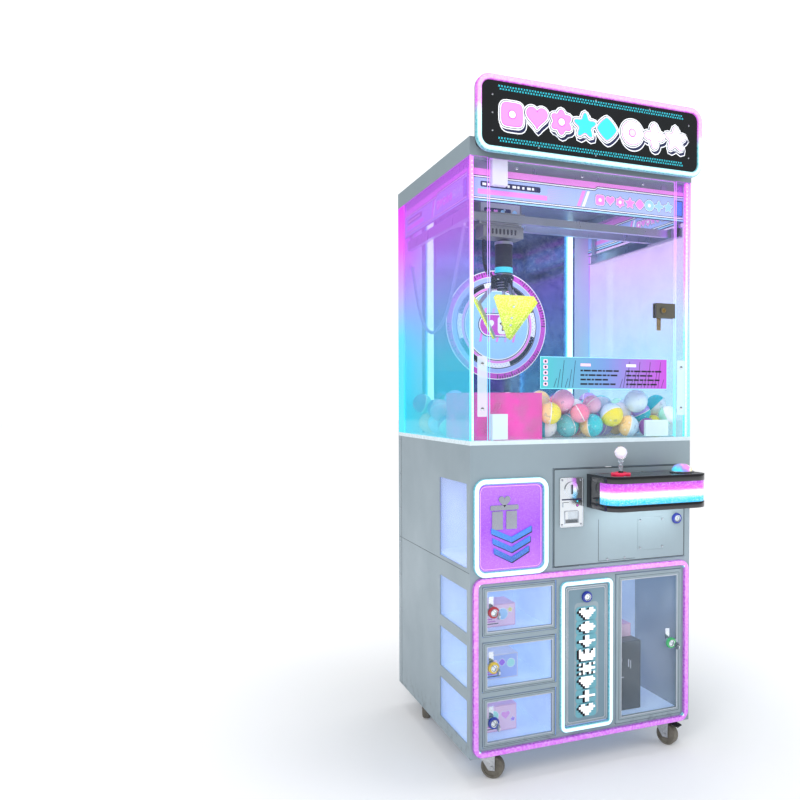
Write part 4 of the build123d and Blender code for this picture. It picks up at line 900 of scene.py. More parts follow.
def makeCords():
    line = evenly(smoothLine(cordRoutes["festoon"]), 220)
    festoon = cordPiece("festoonLead", line, cordSizes["festoonDiameter"] / 2, 16, paints["festoon"],
                        ["festoon_cable"])
    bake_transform(festoon)
    core = evenly(smoothLine(cordRoutes["curly"]), cordSizes["curlyTurns"] * 18)
    along = np.gradient(core, axis=0)
    along /= np.linalg.norm(along, axis=1, keepdims=True)
    out = np.cross(along, [0.0, 1.0, 0.0])
    turn = np.linspace(0, 2 * pi * cordSizes["curlyTurns"], len(core))
    fade = np.clip(np.minimum(np.arange(len(core)), np.arange(len(core))[::-1]) / 14.0, 0, 1)[:, None]
    ring = out * np.cos(turn)[:, None] + np.cross(along, out) * np.sin(turn)[:, None]
    helix = core + ring * cordSizes["curlyRadius"] * fade
    curly = cordPiece("curlyLead", helix, cordSizes["curlyWire"] / 2, 8, paints["curly"],
                      ["coil_cord"])
    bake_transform(curly)
    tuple(helix[0])
    line = evenly(smoothLine(cordRoutes["hoist"]), 24)
    hoist = cordPiece("hoistLine", line, cordSizes["hoistDiameter"] / 2, 10, paints["line"],
                      ["hoist_cord"])
    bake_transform(hoist)


makeCords()
print("cords laid")


view = {"place": (-1.169, -2.344, 1.0787), "yaw": 0.408, "pitch": 0.0233, "lens": 36.5,
        "shift": (-0.125, 0.0229)}


def setCamera():
    data = bpy.data.cameras.new("camera")
    data.lens, data.sensor_width, data.clip_end = view["lens"], 36, 60
    data.shift_x, data.shift_y = view["shift"]
    camera = bpy.data.objects.new("camera", data)
    camera.location = view["place"]
    camera.rotation_euler = (pi / 2 - view["pitch"], 0, -view["yaw"])
    bpy.context.scene.collection.objects.link(camera)
    bpy.context.scene.camera = camera


def addArea(name, place, aim, size, power, colour=(1, 1, 1), seen=False):
    data = bpy.data.lights.new(name, "AREA")
    data.shape = "RECTANGLE"
    data.size, data.size_y = size
    data.energy, data.color = power, colour
    lamp = bpy.data.objects.new(name, data)
    lamp.location = place
    lamp.rotation_euler = (Vector(aim) - Vector(place)).to_track_quat("-Z", "Y").to_euler()
    lamp.visible_camera = seen
    lamp.visible_glossy = seen
    bpy.context.scene.collection.objects.link(lamp)
    return lamp


studio = {"floor": (0.80, 0.81, 0.83), "backdrop": 1.2, "ambient": 0.62, "glossy": 0.34}


def setStudio():
    world = bpy.data.worlds.new("studio")
    world.use_nodes = True
    tree = world.node_tree
    background = tree.nodes["Background"]
    path = tree.nodes.new("ShaderNodeLightPath").outputs
    level = between(tree, path["Is Glossy Ray"], 0.0, 1.0, studio["ambient"], studio["glossy"])
    level = sums(tree, "MAXIMUM", level, sums(tree, "MULTIPLY", path["Is Camera Ray"], studio["backdrop"]))
    tree.links.new(level, background.inputs["Strength"])
    background.inputs["Color"].default_value = (0.97, 0.985, 1.0, 1)
    bpy.context.scene.world = world
    angle = np.linspace(0, 2 * pi, 72, endpoint=False)
    rings = np.array([0.0, 1.0, 2.0, 4.0, 9.0, 40.0])
    floor = np.stack([np.outer(rings, np.cos(angle)), np.outer(rings, np.sin(angle)), np.zeros((6, 72))], -1)
    # the floor is given a painted glow, dim near the machine and rising to white far away, so that it fades
    # into the backdrop
    material, tree, shader = newMaterial("paleFloor")
    x, y, _ = axes(tree)
    far = sums(tree, "SQRT", sums(tree, "ADD", sums(tree, "MULTIPLY", x, x), sums(tree, "MULTIPLY", y, y)))
    fade = between(tree, far, 0.55, 2.2)
    grain = put(tree, "ShaderNodeTexNoise", objectPlace(tree), None, 30.0, 4.0)
    tone = blendColours(tree, sums(tree, "MULTIPLY", grain.outputs[0], 0.05), studio["floor"],
                        (0.6, 0.6, 0.62))
    white = blendColours(tree, fade, (0.16, 0.16, 0.16), (1.0, 1.0, 1.0))
    settle(tree, shader, BaseColor=tone, Roughness=0.7, EmissionColor=white, EmissionStrength=0.55)
    piece = addPiece("studioFloor", [(floor.reshape(-1, 3), gridFaces(6, 72, wrapColumns=True))], material,
                     None)
    if piece.data.polygons[0].normal.z < 0:
        piece.data.flip_normals()
    addArea("key", (-2.6, -3.0, 3.2), (0, 0, 1.0), (2.2, 2.2), 95, (1.0, 0.99, 0.98))
    addArea("fill", (3.0, -2.2, 2.0), (0, 0, 0.9), (2.4, 2.4), 42, (0.93, 0.96, 1.0))
    addArea("top", (0, 0.3, 4.2), (0, 0, 1.5), (2.6, 2.6), 45)
    middle = spots(0, 330, 0)
    addArea("cabinLamp", (0, middle[1], 1.712), (0, middle[1], 1.0), (0.52, 0.48), 2.6, (0.88, 0.92, 1.0))
    addArea("boxLamp", tuple(spots(170, -60, 761)), tuple(spots(170, -20, 600)), (0.28, 0.06), 0.55,
            (0.92, 1.0, 1.0))


setCamera()
setStudio()
bpy.context.scene.view_settings.view_transform = "Standard"
print("camera and studio set")


inks = {
    "white": (0.95, 0.97, 1.0), "navy": (0.010, 0.014, 0.06), "black": (0.003, 0.003, 0.005),
    "pink": (0.90, 0.28, 0.82),
    "deepPink": (0.62, 0.06, 0.58), "sky": (0.36, 0.68, 1.0), "cyan": (0.04, 0.80, 0.96),
    "violet": (0.38, 0.12, 0.85),
    "blue": (0.06, 0.24, 0.72), "pale": (0.40, 0.52, 0.92), "lilac": (0.62, 0.46, 0.96),
    "silver": (0.46, 0.46, 0.52),
    "rose": (0.98, 0.62, 0.82), "mint": (0.42, 0.90, 0.78), "yellow": (0.95, 0.82, 0.12),
    "halo": (0.10, 0.30, 0.36),
}


# a flat band between an outer and an inner outline with the same number of points
def framePart(outer, inner, onto, low, high):
    rows = [(outer, low), (outer, high), (inner, high), (inner, low)]
    points = np.concatenate([onto(line[:, 0], line[:, 1], np.full(len(line), level)) for line, level in rows])
    return points, gridFaces(4, len(outer), wrapRows=True, wrapColumns=True)


# pan-head screws: a low dome at each (u, v)
def screwParts(places, onto, axisPlace, radius=3.2, rise=1.6):
    parts = []
    for u, v in places:
        turn = np.linspace(0, 2 * pi, 14, endpoint=False)
        steps = [(1.0, 0.0), (1.0, 0.45), (0.8, 0.85), (0.4, 1.0)]
        rows = [onto(u + radius * share * np.cos(turn), v + radius * share * np.sin(turn),
                     np.full(14, axisPlace + rise * up))
                for share, up in steps]
        faces = gridFaces(4, 14, wrapColumns=True) + [list(range(14)), [42 + index for index in range(14)]]
        parts.append((np.concatenate(rows), faces))
    return parts


# separate balls of the heap: their middles and sizes are read from the CAD node
ballLook = {"rows": 9, "columns": 26, "seamHalf": 2.4, "groove": 0.014, "seed": 4,
            "colours": [(0.90, 0.78, 0.06), (0.20, 0.48, 0.86), (0.95, 0.22, 0.40), (0.42, 0.86, 0.66),
                        (0.55, 0.36, 0.90), (0.93, 0.93, 0.96), (0.05, 0.58, 0.66), (0.90, 0.42, 0.66),
                        (0.30, 0.08, 0.36), (0.98, 0.66, 0.30), (0.60, 0.80, 0.96)]}


# points that share triangles get one label, the lowest of their numbers, until nothing changes
def readBalls():
    work = bmesh.new()
    work.from_mesh(nodes["prize_balls"].data)
    bmesh.ops.remove_doubles(work, verts=work.verts, dist=1e-6)
    whole = bpy.data.meshes.new("heap")
    work.to_mesh(whole)
    work.free()
    points = np.zeros(len(whole.vertices) * 3)
    whole.vertices.foreach_get("co", points)
    points = points.reshape(-1, 3)
    whole.calc_loop_triangles()
    corners = np.zeros(len(whole.loop_triangles) * 3, np.int32)
    whole.loop_triangles.foreach_get("vertices", corners)
    corners = corners.reshape(-1, 3)
    label = np.arange(len(points))
    while True:
        least = label[corners].min(axis=1)
        lower = label.copy()
        np.minimum.at(lower, corners.ravel(), np.repeat(least, 3))
        if np.array_equal(lower, label):
            break
        label = lower
    names = np.unique(label)
    low = np.array([points[label == name].min(axis=0) for name in names])
    high = np.array([points[label == name].max(axis=0) for name in names])
    bpy.data.meshes.remove(whole)
    return (low + high) / 2, (high - low).max(axis=1) / 2


# every ball is a globe with a shallow groove round its middle, turned its own way; the halves differ in
# colour
def makeBalls():
    dice = np.random.default_rng(ballLook["seed"])
    middles, radii = readBalls()
    half = np.concatenate([[ballLook["seamHalf"]], np.linspace(12, 90, ballLook["rows"] - 1)])
    latitude = np.radians(np.concatenate([-half[::-1], half]))
    longitude = np.linspace(0, 2 * pi, ballLook["columns"], endpoint=False)
    dent = 1 - ballLook["groove"] * np.exp(-(latitude / 0.06) ** 2)
    a, b = np.meshgrid(latitude, longitude, indexing="ij")
    globe = np.stack([np.cos(a) * np.cos(b), np.cos(a) * np.sin(b), np.sin(a)], -1) * dent[:, None, None]
    turns = np.linalg.qr(dice.normal(size=(len(radii), 3, 3)))[0]
    turns *= np.linalg.det(turns)[:, None, None]
    points = np.einsum("nij,abj->nabi", turns, globe) * radii[:, None, None, None] + middles[:, None, None]
    faces = np.array(gridFaces(len(latitude), len(longitude), wrapColumns=True))
    count = len(latitude) * len(longitude)
    allFaces = (faces[None] + (np.arange(len(radii)) * count)[:, None, None]).reshape(-1, 4)
    palette = np.array(ballLook["colours"])
    upper, lower = palette[dice.integers(0, len(palette), len(radii))], palette[dice.integers(0, len(palette),
        len(radii))]
    lower = np.where(dice.random(len(radii))[:, None] < 0.45, upper * 0.8 + 0.15, lower)
    row = np.arange(len(faces)) // len(longitude)
    seam = len(latitude) // 2 - 1
    shade = np.where((row > seam)[None, :, None], upper[:, None], lower[:, None])
    shade = np.where((row == seam)[None, :, None], 0.9, shade)
    colour = np.concatenate([shade, np.ones((*shade.shape[:2], 1))], -1).reshape(-1, 4)
    mesh = bpy.data.meshes.new("ballHeap")
    mesh.from_pydata(points.reshape(-1, 3).tolist(), [], allFaces.tolist())
    paint = mesh.attributes.new("shell", "FLOAT_COLOR", "CORNER")
    paint.data.foreach_set("color", np.repeat(colour, 4, axis=0).astype(np.float32).ravel())
    work = bmesh.new()
    work.from_mesh(mesh)
    bmesh.ops.remove_doubles(work, verts=work.verts, dist=2e-6)
    bmesh.ops.recalc_face_normals(work, faces=work.faces)
    work.to_mesh(mesh)
    work.free()
    finishPiece(bpy.data.objects.new("ballHeap", mesh), paints["vinyl"], "root",
                ["prize_balls"], smooth=60)


makeBalls()
print("ball heap made")


signLook = {"marks": 72, "markPitch": 8.3, "markSize": 2.6, "rows": (1921, 1913.5, 1782.5, 1775),
            "artSize": 33,
            "shapes": [("tile", -262, "pink"), ("heart", -187, "pink"), ("flower", -112, "pink"),
                       ("star", -37, "cyan"),
                       ("gem", 34, "cyan"), ("disc", 118, "white"), ("cross", 194, "white"),
                       ("star", 268, "white")],
            "artHeight": 1848}


# a diagonal cross: four arms of one width
def crossMark(u, v, size):
    w = size * 0.28
    arm = np.array([(0, w), (size - w, size), (size, size - w), (w, 0), (size, w - size), (size - w, -size),
                    (0, -w),
                    (w - size, -size), (-size, w - size), (-w, 0), (-size, size - w), (w - size, size)])
    return arm + (u, v)


def makeSign():
    faceDepth = nodeLimits("sign_face")[1][0]
    onto = onFront(faceDepth)
    marks = []
    for number, v in enumerate(signLook["rows"]):
        shift = (number % 2) * signLook["markPitch"] / 2
        start = -signLook["markPitch"] * signLook["marks"] / 2 + shift
        marks += [(crossMark(start + index * signLook["markPitch"], v, signLook["markSize"]), "cyan", 0)
                  for index in range(signLook["marks"])]
    printPiece("signMarks", marks, onto, inks, paints["darkInk"], "root", layer=0.3)
    art = []
    for kind, u, ink in signLook["shapes"]:
        v, size = signLook["artHeight"], signLook["artSize"]
        steps = 48
        body = plainShape(kind, (u, v), size, steps)
        cast = plainShape(kind, (u + 5, v - 8), size, steps)
        art += [(widened(cast, 11), "white", 0), (widened(cast, 8), "navy", 1),
                (widened(body, 9.5), "white", 2),
                (widened(body, 6.5), "navy", 3), (widened(body, 4.8), "white", 4),
                (widened(body, 1.6), "deepPink", 5),
                (body, ink, 6)]
        if kind in ("tile", "disc", "flower"):
            hole = plainShape("disc", (u, v), size * 0.30, 24)
            art += [(widened(hole, 2.2), "deepPink", 7), (hole, "white" if ink != "white" else "rose", 8)]
    printPiece("signArt", art, onto, inks, paints["signInk"], "root", layer=0.55)
    screws = [(u, v) for u in (-318, 318) for v in (1800, 1848, 1896)] + [(0, 1925), (0, 1770), (-180, 1770),
        (180, 1925)]
    addPiece("signScrews", screwParts(screws, onto, 0.0, 2.6), paints["chrome"], "root")


makeSign()
print("sign made")


# dots on a slanting lattice between limits, shrinking from one end to the other
def dotLattice(u, v, pitch, size, ink, level, sides=6):
    dots = []
    columns, rows = int((u[1] - u[0]) / pitch), int((v[1] - v[0]) / pitch)
    turn = np.linspace(0, 2 * pi, sides, endpoint=False)
    ring = np.stack([np.cos(turn), np.sin(turn)], 1)
    for i in range(columns):
        for j in range(rows):
            radius = size * (1 - 0.75 * i / max(1, columns - 1))
            centre = (u[0] + (i + 0.5 + 0.5 * (j % 2)) * pitch, v[0] + (j + 0.5) * pitch)
            dots.append((centre + radius * ring, ink, level))
    return dots


def slanted(u, width, v, lean=14):
    return np.array([(u, v[0]), (u + width, v[0]), (u + width + lean, v[1]), (u + lean, v[1])], float)


# one banner design, laid out along a board of any length; way is -1 where the length runs the other way
def bannerShapes(u, v, way=1):
    length, height = u[1] - u[0], v[1] - v[0]
    middle = u[0] + 0.56 * length
    shapes = [(rectangle(u, v), "pale", 0)]
    top = v[1] - 0.20 * height
    shapes.append((np.array([(u[0], top), (middle, top), (middle + 9, top + 7), (u[1], top + 7), (u[1], v[1]),
                             (u[0], v[1])]), "pink", 1))
    for shift, thick, ink in ((0.0, 2.2, "navy"), (-2.2, 3.4, "white"), (-5.6, 1.8, "navy")):
        low = top + shift - thick
        shapes.append((np.array([(u[0], low), (middle, low), (middle + 9, low + 7), (u[1], low + 7),
                                 (u[1], low + 7 + thick),
                                 (middle + 9 - 1, low + 7 + thick), (middle - 1, low + thick),
                                 (u[0], low + thick)]), ink, 2))
    for low, thick, ink in ((0, 3, "navy"), (3, 5, "sky"), (8, 2.4, "navy"), (10.4, 3, "white"),
                            (13.4, 1.6, "navy")):
        shapes.append((rectangle(u, (v[0] + low, v[0] + low + thick)), ink, 2))
    left = u[0] + 0.04 * length
    shapes.append((rectangle((left, left + 0.30 * length), (v[0] + 22, v[0] + 36)), "pink", 2))
    shapes.append((roundedRectangle((left + 8, left + 0.27 * length), (v[0] + 42, v[0] + 58), 4, 4), "navy",
                   3))
    dashes = 11
    for index in range(dashes):
        start = left + 14 + index * (0.27 * length - 26) / dashes
        wide = (0.27 * length - 26) / dashes * (0.45 + 0.3 * (index % 3 == 0))
        shapes.append((rectangle((start, start + wide), (v[0] + 46.5, v[0] + 53.5)), "white", 4))
    shapes += dotLattice((left + 0.30 * length, left + 0.42 * length), (v[0] + 18, v[0] + 62), 5.0, 2.0,
                         "lilac", 3)
    bar = left + 0.435 * length
    shapes += [(slanted(bar, 12, (v[0] + 17, v[0] + 63), 18), "pink", 3),
               (slanted(bar + 17, 9, (v[0] + 17, v[0] + 63), 18), "white", 3)]
    start, stop = bar + 0.085 * length, u[1] - 0.055 * length
    for index, kind in enumerate(("tile", "heart", "flower", "star", "gem", "disc", "cross", "star")):
        centre = (start + (index + 0.5) * (stop - start) / 8, v[0] + 41)
        size = min(17.0, 0.42 * (stop - start) / 8 + 2)
        body = plainShape(kind, centre, size, 32)
        ink = "pink" if index < 5 else "sky"
        shapes += [(widened(body, 2.6), "navy", 4), (widened(body, 1.4), "white", 5), (body, ink, 6)]
        if kind in ("tile", "disc", "flower"):
            shapes.append((plainShape("disc", centre, size * 0.34, 16), "white", 7))
    shapes.append((rectangle((stop + 4, u[1] - 3), (v[0] + 17, v[0] + 66)), "navy", 3))
    shapes.append((rectangle((stop + 7, u[1] - 6), (v[0] + 20, v[0] + 63)), "blue", 4))
    if way < 0:
        shapes = [(np.stack([u[0] + u[1] - outline[:, 0], outline[:, 1]], 1), ink, level) for outline, ink,
                  level in shapes]
    return shapes


def makeBanners():
    (x0, x1), (d0, d1), (z0, z1) = nodeLimits("header_boards")
    printPiece("bannerFront", bannerShapes((x0 + 1, x1 - 1), (z0, z1)), onFront(d0), inks, paints["ink"],
               "root",
               layer=0.08)
    printPiece("bannerBack", bannerShapes((x0 + 4, x1 - 4), (z0, z1), -1), onBack(d0 + 2),
               inks, paints["ink"], "root", layer=0.08)
    for name, across, way, mirrored in (("bannerLeftOuter", x0, -1, -1), ("bannerLeftInner", x0 + 2, 1, 1),
                                        ("bannerRightOuter", x1, 1, 1), ("bannerRightInner", x1 - 2, -1, -1)):
        printPiece(name, bannerShapes((d0 + 4, d1), (z0, z1), mirrored), onSide(across, way), inks,
                   paints["ink"],
                   "root", layer=0.08)


makeBanners()

stripLook = {"u": (-151, 279), "v": (1109, 1201), "slices": 40, "from": (0.06, 0.48, 0.52),
             "via": (0.16, 0.28, 0.62),
             "to": (0.50, 0.06, 0.62)}


# slices of slowly changing colour, hatching at the ends, and rows of dashes
def makeStrip():
    (u0, u1), (v0, v1) = stripLook["u"], stripLook["v"]
    edges = np.linspace(u0, u1, stripLook["slices"] + 1)
    share = np.linspace(0, 1, stripLook["slices"])[:, None]
    fromInk, viaInk, toInk = (np.array(stripLook[key]) for key in ("from", "via", "to"))
    shade = np.where(share < 0.5, fromInk + (viaInk - fromInk) * share * 2,
                     viaInk + (toInk - viaInk) * (share * 2 - 1))
    palette = dict(inks, **{f"slice{index}": tuple(colour) for index, colour in enumerate(shade)})
    shapes = [(rectangle((edges[index], edges[index + 1]), (v0, v1)), f"slice{index}", 0)
              for index in range(stripLook["slices"])]
    for index in range(34):
        u = u0 + 6 + index * 12.2
        if 30 < index * 12.2 < 105 or index > 20:
            shapes.append((slanted(u, 1.6, (v0 + 4, v0 + 30 + 26 * ((index * 7) % 3)), 9), "navy", 1))
    for index in range(5):
        shapes.append((roundedRectangle((u0 + 10, u0 + 24), (v0 + 8 + index * 16, v0 + 20 + index * 16), 3,
                                        3), "rose", 2))
        shapes.append((plainShape("star", (u0 + 17, v0 + 14 + index * 16), 4.4, 20), "navy", 3))
    for block, start in enumerate((130, 285)):
        shapes.append((rectangle((u0 + start, u0 + start + 34), (v1 - 26, v1 - 18)),
                       "white" if block else "rose", 2))
        for line in range(4):
            u = u0 + start
            for dash in range(7):
                wide = 8 + 5 * ((dash * 3 + line * 5 + block) % 4)
                shapes.append((rectangle((u, u + wide), (v1 - 41 - line * 13, v1 - 36 - line * 13)), "black",
                               2))
                u += wide + 3
                if u > u0 + start + 118 - 14 * ((line + block) % 3):
                    break
    edge = (roundedRectangle((u0, u1), (v0, v1), 1.5, 4),
            roundedRectangle((u0 + 1.4, u1 - 1.4), (v0 + 1.4, v1 - 1.4), 0.6, 4))
    onto = onFront(nodeLimits("glass_door")[1][0])
    printPiece("glassStrip", shapes, onto, palette, paints["ink"], "glass_door", layer=0.06)
    addPiece("glassStripEdge", [framePart(*edge, onto, 0.05, 0.5)], paints["glassEdge"], "glass_door")


makeStrip()

roundel = {"centre": (-20, 1345), "radius": 195}


# rings from the outside in, ticks round the rim, dotted arcs, and a capsule with a star in the middle
def makeRoundel():
    centre, r = np.array(roundel["centre"], float), roundel["radius"]
    shapes = [(plainShape("disc", centre, r, 120), "white", 0)]
    for inner, outer, ink, level in ((0.89, 0.985, "deepPink", 1), (0.80, 0.88, "pale", 1),
                                     (0.785, 0.80, "navy", 2),
                                     (0.66, 0.70, "pink", 1), (0.64, 0.655, "navy", 2)):
        for half in (0, 180):
            shapes.append((arcBand(centre, inner * r, outer * r, half, half + 180, 60), ink, level))
    for start, stop in ((20, 70), (110, 165), (200, 250), (290, 345)):
        shapes.append((arcBand(centre, 0.705 * r, 0.782 * r, start, stop, 24), "black", 2))
        for angle in np.radians(np.arange(start + 4, stop - 2, 5)):
            for share in (0.725, 0.762):
                spot = centre + share * r * np.array([cos(angle + share), sin(angle + share)])
                shapes.append((plainShape("disc", spot, 1.8, 6), "pale", 3))
    for number in range(120):
        if number % 30 < 21:
            long = 0.045 if number % 3 else 0.08
            shapes.append((arcBand(centre, (0.985 - long) * r, 0.985 * r, number * 3, number * 3 + 1.1, 2),
                           "navy", 3))
    shapes.append((plainShape("disc", centre, 0.62 * r, 90), "sky", 1))
    for index, u in enumerate((-70, -38, -6, 26, 58)):
        shapes.append((slanted(centre[0] + u, 9, (centre[1] - 60, centre[1] + 60), 22),
                       "lilac" if index % 2 else "pink", 2))
    capsule = roundedRectangle((centre[0] - 66, centre[0] + 66), (centre[1] - 36, centre[1] + 36), 35, 14)
    shapes += [(widened(capsule, 7), "navy", 4), (widened(capsule, 4), "white", 5), (capsule, "deepPink", 6),
               (roundedRectangle((centre[0] + 2, centre[0] + 62), (centre[1] - 32, centre[1] + 32), 12, 6),
                "white", 7),
               (plainShape("star", centre + (33, 0), 23, 40), "navy", 8),
               (plainShape("star", centre + (33, 0), 18, 40), "yellow", 9),
               (plainShape("heart", centre + (-32, 0), 21, 40), "white", 7)]
    printPiece("backRoundel", shapes, onFront(nodeLimits("mirror_panel")[1][0]), inks, paints["ink"], "root",
               layer=0.1)


makeRoundel()
print("prints made")


flapLook = {"boxU": (-300, -224), "boxV": (716, 776), "relief": 3.0}


def makeFlapArt():
    onto = onFront(nodeLimits("prize_flap")[1][0])
    (u0, u1), (v0, v1) = flapLook["boxU"], flapLook["boxV"]
    middle = (u0 + u1) / 2
    bow = [plainShape("heart", (middle, v1 + 17), 19, 40)]
    silver = [roundedRectangle((u0 - 5, u1 + 5), (v1 - 6, v1 + 8), 3, 4),
              roundedRectangle((u0, middle - 5), (v0, v1 - 9), 2, 4),
              roundedRectangle((middle + 5, u1), (v0, v1 - 9), 2, 4)] + bow
    parts = [platePart(outline, onto, 0, flapLook["relief"]) for outline in silver]
    addPiece("flapGift", parts, paints["silverArt"], "prize_flap", bevel=0.6)
    chevrons = []
    for number, v in enumerate((690, 662, 634)):
        wide = 62 - 4 * number
        chevrons.append(np.array([(-241 - wide, v + 16), (-241 - wide, v + 32), (-241, v + 4),
                                  (-241 + wide, v + 32),
                                  (-241 + wide, v + 16), (-241, v - 12)], float))
    parts = [platePart(outline + (3, -3.5), onto, 0, 1.2) for outline in chevrons]
    addPiece("flapChevronShade", parts, paints["navyPlastic"], "prize_flap", bevel=0.3)
    parts = [platePart(outline, onto, 1.2, 4.0) for outline in chevrons]
    addPiece("flapChevrons", parts, paints["blueArt"], "prize_flap", bevel=0.6)
    outer, inner = (roundedRectangle((-338 + 3 + k, -144 - 3 - k), (602 + 3 + k, 841 - 3 - k), 17 - k, 8)
                    for k in (0, 2.2))
    addPiece("flapEdge", [framePart(outer, inner, onto, 0, 1.1)], paints["violetTrim"], "prize_flap")


dotIcons = [  # heart, diamond, arrow, crown, burst, gem, cross and heart, each eight dots wide and five high
    (" ##  ## ", "########", " ###### ", "  ####  ", "   ##   "),
    ("   ##   ", " ###### ", "########", " ###### ", "   ##   "),
    ("   ##   ", "   ##   ", "########", "  ####  ", "   ##   "),
    ("#  ##  #", "## ## ##", "########", "########", " ###### "),
    ("# #  # #", "  ####  ", "########", "  ####  ", "# #  # #"),
    (" ###### ", "########", " ###### ", "  ####  ", "   ##   "),
    ("   ##   ", "   ##   ", "########", "   ##   ", "   ##   "),
    (" ##  ## ", "########", " ###### ", "  ####  ", "   ##   "),
]
centreLook = {"dot": 6.7, "top": 470, "pitch": 40.5, "shade": (-6.5, -3.0)}


# runs of dots in each row of an icon become bars
def iconBars(icon, centre, dot):
    bars = []
    for row, text in enumerate(icon):
        column = 0
        while column < len(text):
            if text[column] == "#":
                stop = column
                while stop < len(text) and text[stop] == "#":
                    stop += 1
                u = (centre[0] + (column - 4) * dot, centre[0] + (stop - 4) * dot)
                v = centre[1] + (2.5 - row) * dot
                bars.append(rectangle(u, (v - dot - 0.01, v)))
                column = stop
            column += 1
    return bars


def makeCentreDoor():
    onto = onFront(-2)
    shapes = []
    for number, icon in enumerate(dotIcons):
        centre = np.array([0.0, centreLook["top"] - 16 - number * centreLook["pitch"]])
        halo = roundedRectangle((centre[0] - 36, centre[0] + 33), (centre[1] - 22, centre[1] + 20), 10, 5)
        shapes.append((halo, "halo", 0))
        for shift in (0.35, 0.7, 1.0):
            offset = shift * np.array(centreLook["shade"])
            shapes += [(outline + offset, "black", 1) for outline in iconBars(icon, centre,
                centreLook["dot"])]
        shapes += [(outline, "white", 4) for outline in iconBars(icon, centre, centreLook["dot"])]
    printPiece("centreIcons", shapes, onto, inks, paints["iconInk"], "centre_door", layer=0.9)
    frames = []
    for inset in (3, 9):
        outer = roundedRectangle((-72 + inset, 72 - inset), (128 + inset, 537 - inset), 8, 6)
        inner = roundedRectangle((-74 + inset + 4, 74 - inset - 4), (126 + inset + 4, 539 - inset - 4), 6, 6)
        frames.append(framePart(outer, inner, onto, 0, 1.4 - inset * 0.06))
    addPiece("centreDoorFrames", frames, paints["steel"], "centre_door")
    field = framePart(roundedRectangle((-60, 60), (140, 525), 5, 6),
                      roundedRectangle((-40, 40), (150, 486), 12, 6), onto, 0, 0.3)
    addPiece("centreDoorField", [field], paints["tealField"], "centre_door")


def makeCoinPlate():
    (x0, x1), (z0, z1) = (-90, -14), (710, 853)
    onto = onFront(-5)
    corners = [(x0 + 7, z0 + 7), (x1 - 7, z0 + 7), (x0 + 7, z1 - 7), (x1 - 7, z1 - 7)]
    parts = screwParts(corners, onto, 0.0, 3.4)
    addPiece("coinPlateScrews", parts, paints["steel"], "control_door")
    outer = roundedRectangle((x0, x1), (z0, z1), 5, 6)
    inner = roundedRectangle((x0 + 2, x1 - 2), (z0 + 2, z1 - 2), 4, 6)
    addPiece("coinPlateRim", [framePart(outer, inner, onto, -0.5, 1.0)], paints["chrome"], "control_door")
    addPiece("coinDiscRim", [framePart(plainShape("disc", (-52, 819), 22.2, 40),
                                       plainShape("disc", (-52, 819), 19.4, 40),
                                       onFront(-7.5), -0.4, 1.3)], paints["chrome"], "control_door")
    lips = [platePart(roundedRectangle((-55.4, -53.8), (806, 832), 0.7, 3), onFront(-7.5), 0, 1.6),
            platePart(roundedRectangle((-50.2, -48.6), (806, 832), 0.7, 3), onFront(-7.5), 0, 1.6)]
    addPiece("coinSlotLips", lips, paints["steel"], "control_door", bevel=0.3)
    shapes = [(plainShape("disc", (-33, 784), 4.2, 20), "black", 0),
              (plainShape("disc", (-33, 784), 2.6, 16), "cyan", 1),
              (plainShape("disc", (-33, 772), 4.2, 20), "black", 0),
              (plainShape("disc", (-33, 772), 2.6, 16), "deepPink", 1),
              (roundedRectangle((-84, -20), (788, 792), 1.4, 4), "navy", 0)]
    printPiece("coinLamps", shapes, onto, inks, paints["signInk"], "control_door", layer=0.4)
    cup = roundedRectangle((-73, -31), (721, 755), 2, 5)
    addPiece("coinCupRim", [framePart(widened(cup, 2.4), cup, onto, 0, 2.2)], paints["steel"], "control_door")


makeFlapArt()
makeCentreDoor()
makeCoinPlate()
print("flap, centre door and coin plate made")


boxLook = {"x": (2, 335), "back": -2, "front": -138, "corner": 45, "film": (782, 843), "filmFrom": -74,
           "z": (764, 862), "planPoints": 34}


# plan of the box, once round from its back left corner, with its own distance inwards
def boxPlan(inset):
    (x0, x1), corner = boxLook["x"], boxLook["corner"]
    turn = np.linspace(0, pi / 2, 14)
    left = np.stack([x0 + corner - corner * np.cos(turn), boxLook["front"] + corner - corner * np.sin(turn)],
                    1)
    right = np.stack([x1 - corner + corner * np.sin(turn), boxLook["front"] + corner - corner * np.cos(turn)],
                     1)
    sides = np.array([boxLook["back"], boxLook["filmFrom"] + 2, boxLook["filmFrom"]], float)
    path = np.concatenate([np.stack([np.full(3, float(x0)), sides], 1), left, right,
                           np.stack([np.full(3, float(x1)), sides[::-1]], 1)])
    along = np.roll(path, -1, 0) - np.roll(path, 1, 0)
    along[0], along[-1] = (0, -1), (0, 1)
    along /= np.linalg.norm(along, axis=1, keepdims=True)
    inward = np.stack([-along[:, 1], along[:, 0]], 1)
    return path + inward * inset[:, None]


